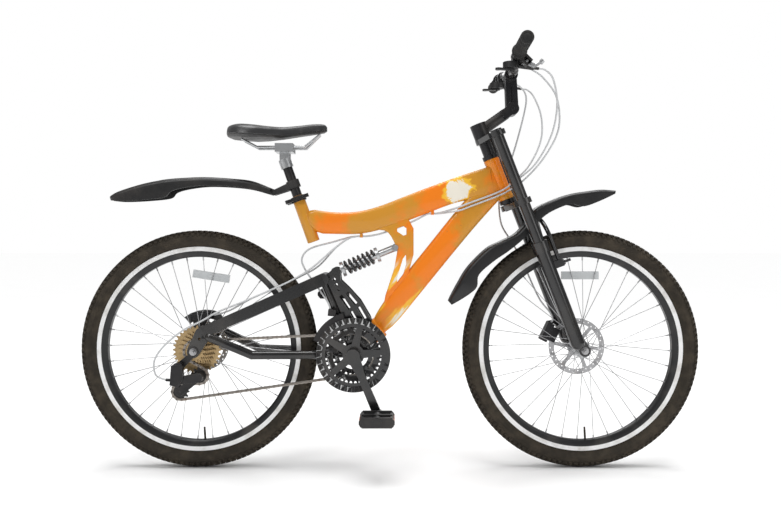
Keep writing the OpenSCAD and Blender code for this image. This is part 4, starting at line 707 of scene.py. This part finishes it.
# Pairs of a point on the crown and a point on the skirt, in X and Z from the guard's own origin
REAR_GUARD = [((-9, 12), (-9, -7)), ((-60, 31), (-66, 9)), ((-120, 38), (-124, 16)),
              ((-192, 42), (-192, 18)), ((-250, 40), (-250, 11)), ((-290, 37), (-284, 1)),
              ((-318, 33), (-302, -15)), ((-370, 22), (-360, -22)), ((-430, 3), (-424, -25)),
              ((-462, -13), (-458, -23))]
FRONT_GUARD = [((92, 442), (90, 433)), ((54, 445), (50, 414)), ((8, 440), (4, 398)),
               ((-38, 432), (-34, 404)), ((-90, 413), (-80, 387)), ((-131, 391), (-112, 366)),
               ((-150, 360), (-138, 336)), ((-182, 324), (-166, 306)), ((-224, 302), (-208, 272)),
               ((-264, 281), (-246, 246)), ((-316, 229), (-288, 208)), ((-346, 181), (-298, 168)),
               ((-372, 134), (-362, 123))]


def guard_section(half, depth, shoulder):
    """One side of a guard's skin as (y, height) points, from skirt to skirt over the crown."""
    arc = [math.radians(18 * k) for k in range(6)]
    left = [(-half, 0)] + [(-half + shoulder * (1 - math.cos(a)), depth - shoulder * (1 - math.sin(a)))
                           for a in arc]
    return left + [(-y, h) for y, h in reversed(left)]


def guard_shape(origin, pairs, outline, half_root):
    """A mudguard: a thin curved skin with rounded shoulders and a rounded tip, on a solid root."""
    crowns = smooth_line([(x, 0, z) for (x, z), _ in pairs], 6)
    skirts = smooth_line([(x, 0, z) for _, (x, z) in pairs], 6)
    shape, rings = Shape(), []
    for i, (crown, skirt) in enumerate(zip(crowns, skirts)):
        tip = max(0, i / (len(crowns) - 1) - 0.9) / 0.1
        half = GUARD_HALF * math.sqrt(1 - 0.85 * tip ** 2)
        depth, up = (crown - skirt).length, (crown - skirt).normalized()
        shoulder = min(0.011, depth * 0.6)
        outer = guard_section(half, depth, shoulder)
        inner = guard_section(half - GUARD_SKIN, depth - GUARD_SKIN, shoulder * 0.75)
        rings.append([origin + skirt + y * LEFT + h * up for y, h in outer + inner[::-1]])
    shape.grid(rings)
    shape.prism([(origin.x + x * MM, origin.z + z * MM) for x, z in outline],
                -half_root, half_root, 0.0015)
    return shape


def make_guards():
    tongue = [(-8, 11), (2, 8), (7, 4), (7, -3), (0, -7.8), (-7, -7), (-14, -6), (-64, 18), (-62, 28)]
    shape = guard_shape(GUARD_PIVOT, REAR_GUARD, tongue, TONGUE_HALF)
    hub_half = (TONGUE_HALF + 0.0003) * LEFT
    shape.rod(GUARD_PIVOT - hub_half, GUARD_PIVOT + hub_half, 0.008, 32, 0.0006)
    new_mesh("rear_guard", shape.verts, shape.faces, "guard_plastic", "rear_fender", ["rear_fender"])
    stub = [(-126, 370), (-106, 370), (-106, 400), (-126, 394)]
    shape = guard_shape(Vector((front_axle.x, 0, tyre_r)), FRONT_GUARD, stub, 0.01)
    new_mesh("front_guard", shape.verts, shape.faces, "guard_plastic", "fork_lowers", ["front_fender"])


make_guards()


# ------------------------------------------------------------------ saddle
POST_SHOWN = 0.104                   # from the seat tube's top to the clamp
post_head = SEAT_TOP + POST_SHOWN * post_up
# Stations along the saddle: X from the post's head, half width, top and bottom
SADDLE = [(-160, 16, 82, 68), (-152, 52, 95, 66), (-124, 74, 101, 64), (-84, 77, 99, 62),
          (-44, 56, 96, 62), (-4, 33, 95, 64), (40, 24, 99, 70), (84, 20, 104, 76),
          (110, 16, 103, 80), (118, 8, 97, 84)]


def saddle_cover():
    """The padded cover: a crown that dips along the middle, with a rolled edge and two seams."""
    stations = smooth_line([(x, w, h) for x, w, h, _ in SADDLE], 6)
    lows = smooth_line([(x, w, h) for x, w, _, h in SADDLE], 6)
    rings = []
    for top, low in zip(stations, lows):
        x, w, high, bottom = top.x, max(top.y, 0.004), top.z, low.z
        rim = bottom + (high - bottom) * 0.2
        ring = []
        for k in range(41):
            s = -1 + 2 * k / 40
            a = abs(s) ** 1.15
            round_off = (1 - a ** 3.6) ** 0.5 if a < 1 else 0
            groove = 0.0022 * math.exp(-(s / 0.16) ** 2) * (0.3 + 0.7 * (x < 0.02))
            seam = 0.0006 * math.exp(-((abs(s) - 0.62) / 0.02) ** 2)
            out = w * math.copysign(min(1, abs(s) ** 0.9), s)
            ring.append(Vector((post_head.x + x, out, post_head.z + rim + (high - rim) * round_off
                                - groove - seam)))
        ring += [Vector((post_head.x + x, 0.93 * w * s, post_head.z + rim + 0.0002))
                 for s in (0.9, 0.3, -0.3, -0.9)]
        rings.append(ring)
    shape = Shape()
    shape.grid(rings)
    cover = new_mesh("saddle_top", shape.verts, shape.faces, "saddle_vinyl", "seat", ["saddle_cover"])


saddle_cover()


# ------------------------------------------------------------------ grips
BAR_END = Vector((0.336334, 0.1, 1.122351))
bar_out = Vector((-0.02, 1, 0.02))
grips = Shape()
for side in (-1, 1):
    start = Vector((BAR_END.x, side * 0.1, BAR_END.z))
    out = Vector((bar_out.x, side * bar_out.y, bar_out.z)).normalized()
    inner, outer = 0.0752, 0.2032
    profile = [(inner, 0.0113), (inner, 0.0185), (inner + 0.0015, 0.02), (inner + 0.0035, 0.02),
               (inner + 0.005, 0.0185), (inner + 0.006, 0.0158)]
    ribs = 26
    for k in range(ribs):
        a = inner + 0.009 + (outer - inner - 0.017) * k / ribs
        gap = (outer - inner - 0.017) / ribs
        for share, r in ((0.1, 0.0156), (0.25, 0.0169), (0.65, 0.0169), (0.8, 0.0156)):
            profile.append((a + gap * share, r))
    profile += [(outer - 0.006, 0.0168), (outer - 0.0015, 0.0168), (outer, 0.0152), (outer, 0.0112)]
    grips.revolve(profile, start, out, 40, closed=True)
    grips.revolve([(outer - 0.0035, 0.0111), (outer - 0.0008, 0.0111), (outer - 0.0003, 0.0104)],
                  start, out, 32, closed=False)
new_mesh("grip_pair", grips.verts, grips.faces, "grip_rubber", "stem_link", ["grips"])


# ------------------------------------------------------------------ chain
PITCH = 0.0127


def pitch_r(teeth):
    return PITCH / (2 * math.sin(math.pi / teeth))


COG_Y, RING_Y = -0.062, -0.044
GUIDE, TENSION = Vector((-0.52013, 0, 0.265)), Vector((-0.57313, 0, 0.222))
wheels = [(crank_axis, pitch_r(28), 1, RING_Y), (rear_axle, pitch_r(14), 1, COG_Y),
          (GUIDE, pitch_r(11), -1, COG_Y), (TENSION, pitch_r(11), 1, COG_Y)]


def heading(a, b):
    d = b[0] - a[0]
    return math.atan2(d.z, d.x) + math.asin((a[2] * a[1] - b[2] * b[1]) / math.hypot(d.x, d.z))


def on_wheel(w, h):
    return Vector((w[0].x + w[2] * w[1] * math.sin(h), w[3], w[0].z - w[2] * w[1] * math.cos(h)))


def chain_line():
    path = []
    for i, w in enumerate(wheels):
        a, b = heading(wheels[i - 1], w), heading(w, wheels[(i + 1) % 4])
        turn = (b - a) % (2 * math.pi) if w[2] > 0 else -((a - b) % (2 * math.pi))
        count = max(2, math.ceil(abs(turn) / 0.08))
        path += [on_wheel(w, a + turn * k / count) for k in range(count + 1)]
        following = wheels[(i + 1) % 4]
        if abs(following[3] - w[3]) > 0.001:
            along = Vector((math.cos(b), 0, math.sin(b)))
            path.append(on_wheel(w, b) + 0.032 * along)
            path.append(on_wheel(following, b) - 0.032 * along)
    return path


def at_length(path, lengths, s):
    s %= lengths[-1]
    i = int(np.searchsorted(lengths, s, side="right")) - 1
    i = min(i, len(path) - 1)
    t = (s - lengths[i]) / max(1e-9, lengths[i + 1] - lengths[i])
    return path[i].lerp(path[(i + 1) % len(path)], t)


def make_chain():
    path = chain_line()
    lengths = [0.0]
    for a, b in zip(path, path[1:] + path[:1]):
        lengths.append(lengths[-1] + (b - a).length)
    count = 2 * round(lengths[-1] / PITCH / 2)
    pins = [at_length(path, lengths, lengths[-1] * i / count) for i in range(count)]
    shape = Shape()
    for i, a in enumerate(pins):
        b = pins[(i + 1) % count]
        d = (b - a).normalized()
        up = Vector((-d.z, 0, d.x)).normalized()
        side = d.cross(up).normalized()
        middle_point, half = (a + b) / 2, (b - a).length / 2
        outer = i % 2
        waist, end_r = (0.0030, 0.0040) if outer else (0.0034, 0.0041)
        outline = []
        for sign in (1, -1):
            for k in range(7):
                t = math.radians(-70 + 140 * k / 6)
                outline.append((sign * (half + end_r * math.cos(t)), sign * end_r * math.sin(t)))
            outline.append((sign * half * 0.3, sign * waist))
            outline.append((-sign * half * 0.3, sign * waist))
        near = 0.0023 if outer else 0.0012
        for s in (-1, 1):
            levels = (near, 0.97), (near + 0.0002, 1), (near + 0.0008, 1), (near + 0.001, 0.96)
            shape.grid([[middle_point + x * k * d + z * k * up + s * y * side for x, z in outline]
                        for y, k in levels])
        shape.rod(a - side * 0.0033, a + side * 0.0033, 0.0018, 12, 0.0002)
        shape.rod(a - side * 0.0011, a + side * 0.0011, 0.0038, 16)
    new_mesh("chain_links", shape.verts, shape.faces, "dark_steel", "rear_triangle", ["chain"])


make_chain()


# ------------------------------------------------------------------ shock spring
SHOCK_REAR, SHOCK_FRONT = Vector((-0.150469, 0, 0.547)), Vector((0.015831, 0, 0.615514))
shock_along = (SHOCK_FRONT - SHOCK_REAR).normalized()
shock_up = Vector((-shock_along.z, 0, shock_along.x))
COIL_FROM, COIL_TO, COIL_R, WIRE_R, TURNS = 0.024, 0.12, 0.0215, 0.004, 6.5


def make_spring():
    shape = Shape()
    steps = 260
    path = []
    for i in range(steps + 1):
        t = i / steps
        a = 2 * math.pi * TURNS * t
        along = COIL_FROM + WIRE_R + (COIL_TO - COIL_FROM - 2 * WIRE_R) * t
        path.append(SHOCK_REAR + along * shock_along + (COIL_R - WIRE_R) * (
            math.cos(a) * LEFT + math.sin(a) * shock_up))
    shape.sweep(path, circle(WIRE_R, 16), shock_along)
    coil = new_mesh("spring_coil", shape.verts, shape.faces, "black_paint", "shock", ["shock_spring"])
    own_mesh(coil)


make_spring()

# ------------------------------------------------------------------ cables
CABLE_R = 0.0025
LOOPS = [[(394.3, -130, 1089.4), (412, -129.5, 1085), (434, -122, 1062), (450, -96, 1000),
          (442, -64, 925), (404, -46, 850), (358, -38, 807), (318.4, -29, 778.2)],
         [(362.4, -125.6, 1104.9), (366.6, -119.4, 1100.9), (380, -107, 1092), (412, -98, 1072),
          (452, -84, 1020), (462, -58, 940), (424, -44, 862), (368, -37, 800), (322.4, -28.5, 769.2)],
         [(394.3, 130, 1089.4), (412, 129.5, 1085), (430, 122, 1062), (446, 96, 1000),
          (438, 64, 925), (400, 46, 850), (354, 38, 805), (316.4, 29, 776.2)]]
FRONT_HOSE = [(362.4, 125.6, 1104.9), (366.6, 119.4, 1100.9), (384, 107, 1092), (402, 102, 1062),
              (396, 100, 1010), (366, 95, 900), (340, 92, 830), (322, 93, 770), (326, 93, 690),
              (352, 92, 640), (388, 90, 580), (412, 86, 520), (438, 74, 462), (462, 54, 428),
              (467.6, 43, 409), (463.2, 42, 399.9)]
ALONG = [[(317.6, -29, 777.6), (285, -24, 763), (222, -22.5, 740), (196, -22.5, 730),
          (172, -15, 722), (152, -9, 716), (134, -9, 711.5), (124, -9, 711), (116, -9, 711),
          (102, -9, 708), (63, -9, 688), (-11, -9, 659), (-45, -9, 650), (-66, -9, 647.2),
          (-79.6, -9, 647)],
         [(321.6, -28.5, 768.6), (290, -25, 755), (226, -22.5, 731), (200, -22.5, 721),
          (180, -22, 716.5), (162, -9, 714), (146, 0, 712), (134, 0, 711.2), (124, 0, 711),
          (116, 0, 711), (102, 0, 708), (63, 0, 688), (-11, 0, 659), (-45, 0, 650),
          (-66, 0, 647.2), (-79.6, 0, 647)],
         [(315.6, 29, 775.6), (284, 24, 762), (222, 22.5, 740), (196, 22.5, 730), (172, 15, 722),
          (152, 9, 716), (134, 9, 711.5), (124, 9, 711), (116, 9, 711), (102, 9, 708),
          (63, 9, 688), (-11, 9, 659), (-45, 9, 650), (-66, 9, 647.2), (-79.6, 9, 647)]]
SPANS = [[(-80.4, 9, 647), (-88, 9, 647), (-100, 10, 645.5), (-118, 14, 640), (-154, 24, 615),
          (-205, 40, 562), (-262, 50, 530), (-330, 56, 498), (-400, 62, 468), (-462, 62, 434),
          (-498, 58, 422), (-518, 58, 419.3)],
         [(-80.4, -9, 647), (-88, -9, 647), (-100, -10, 645.5), (-118, -14, 640), (-154, -24, 614),
          (-215, -42, 560), (-270, -52, 526), (-330, -58, 498), (-400, -63, 468), (-470, -68, 440),
          (-512, -78, 416), (-560, -87, 392), (-610, -90, 350), (-636, -89, 310), (-632, -89, 272),
          (-605, -90.5, 259.1)],
         [(-80.4, 0, 647), (-88, 0, 647), (-100, 0, 646), (-118, -1, 643), (-160, -3, 631),
          (-225, -4, 612), (-247, -10, 584), (-236, -16, 552), (-212, -24, 520), (-190, -32, 490),
          (-172, -36, 464), (-165, -36, 446.6)]]


def housing(name, line, replaces=(), body=None):
    """A cable housing along a line."""
    shape = Shape()
    steep = abs((line[1] - line[0]).normalized().z) >= 0.9
    shape.sweep(line, circle(CABLE_R, 12), (1, 0, 0) if steep else (0, 0, 1))
    return new_mesh(name, shape.verts, shape.faces, "cable_sleeve", body, replaces)


for i, points in enumerate(LOOPS):
    line = smooth_line(points, 8)
    cut = 8 * (4 if i == 1 else 3)
    upper = housing(f"loop_upper_{i}", line[:cut + 1], ["control_cables"])
    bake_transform(upper)
    lower = housing(f"loop_lower_{i}", line[cut:], ["control_cables"])
    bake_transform(lower)
line = smooth_line(FRONT_HOSE, 8)
cut = 8 * 5
upper = housing("front_hose_upper", line[:cut + 1], ["control_cables"])
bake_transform(upper)
lower = housing("front_hose_lower", line[cut:], ["control_cables"])
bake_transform(lower)
for i, points in enumerate(ALONG):
    housing(f"frame_cable_{i}", smooth_line(points, 6), ["frame_cables"], "main_frame")
for i, points in enumerate(SPANS):
    span = smooth_line(points, 6)
    piece = housing(f"swing_cable_{i}", span, ["swingarm_cables"])
    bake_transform(piece)

# ------------------------------------------------------------------ small fittings
for side, body in ((-1, "pedal_right"), (1, "pedal_left")):
    low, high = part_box(body)
    c = (low + high) / 2
    shape = Shape()
    for end in (-1, 1):
        x = (low.x if end < 0 else high.x) - end * 0.0022
        shape.prism([(x - 0.0018, c.z - 0.0052), (x + 0.0018, c.z - 0.0052), (x + 0.0018, c.z + 0.0052),
                     (x - 0.0018, c.z + 0.0052)], c.y - 0.028, c.y + 0.028, 0.0008)
    new_mesh(body + "_reflectors", shape.verts, shape.faces, "reflector", body,
             material=amber_plastic.material)

# ------------------------------------------------------------------ floor
floor_shape = Shape()
floor_shape.add([(-40, -40, 0), (40, -40, 0), (40, 40, 0), (-40, 40, 0)], [[0, 1, 2, 3]])
floor_paint = Paint("floor_paint", (0.9, 0.9, 0.9), 0.9)
floor_paint.put("Base Color", floor_paint.mix(floor_paint.noise(3, 3), (0.9, 0.9, 0.9),
                                              (0.87, 0.87, 0.87)))
floor = new_mesh("floor", floor_shape.verts, floor_shape.faces, None, smooth=False,
                 material=floor_paint.material)
floor.location.z = -0.0005
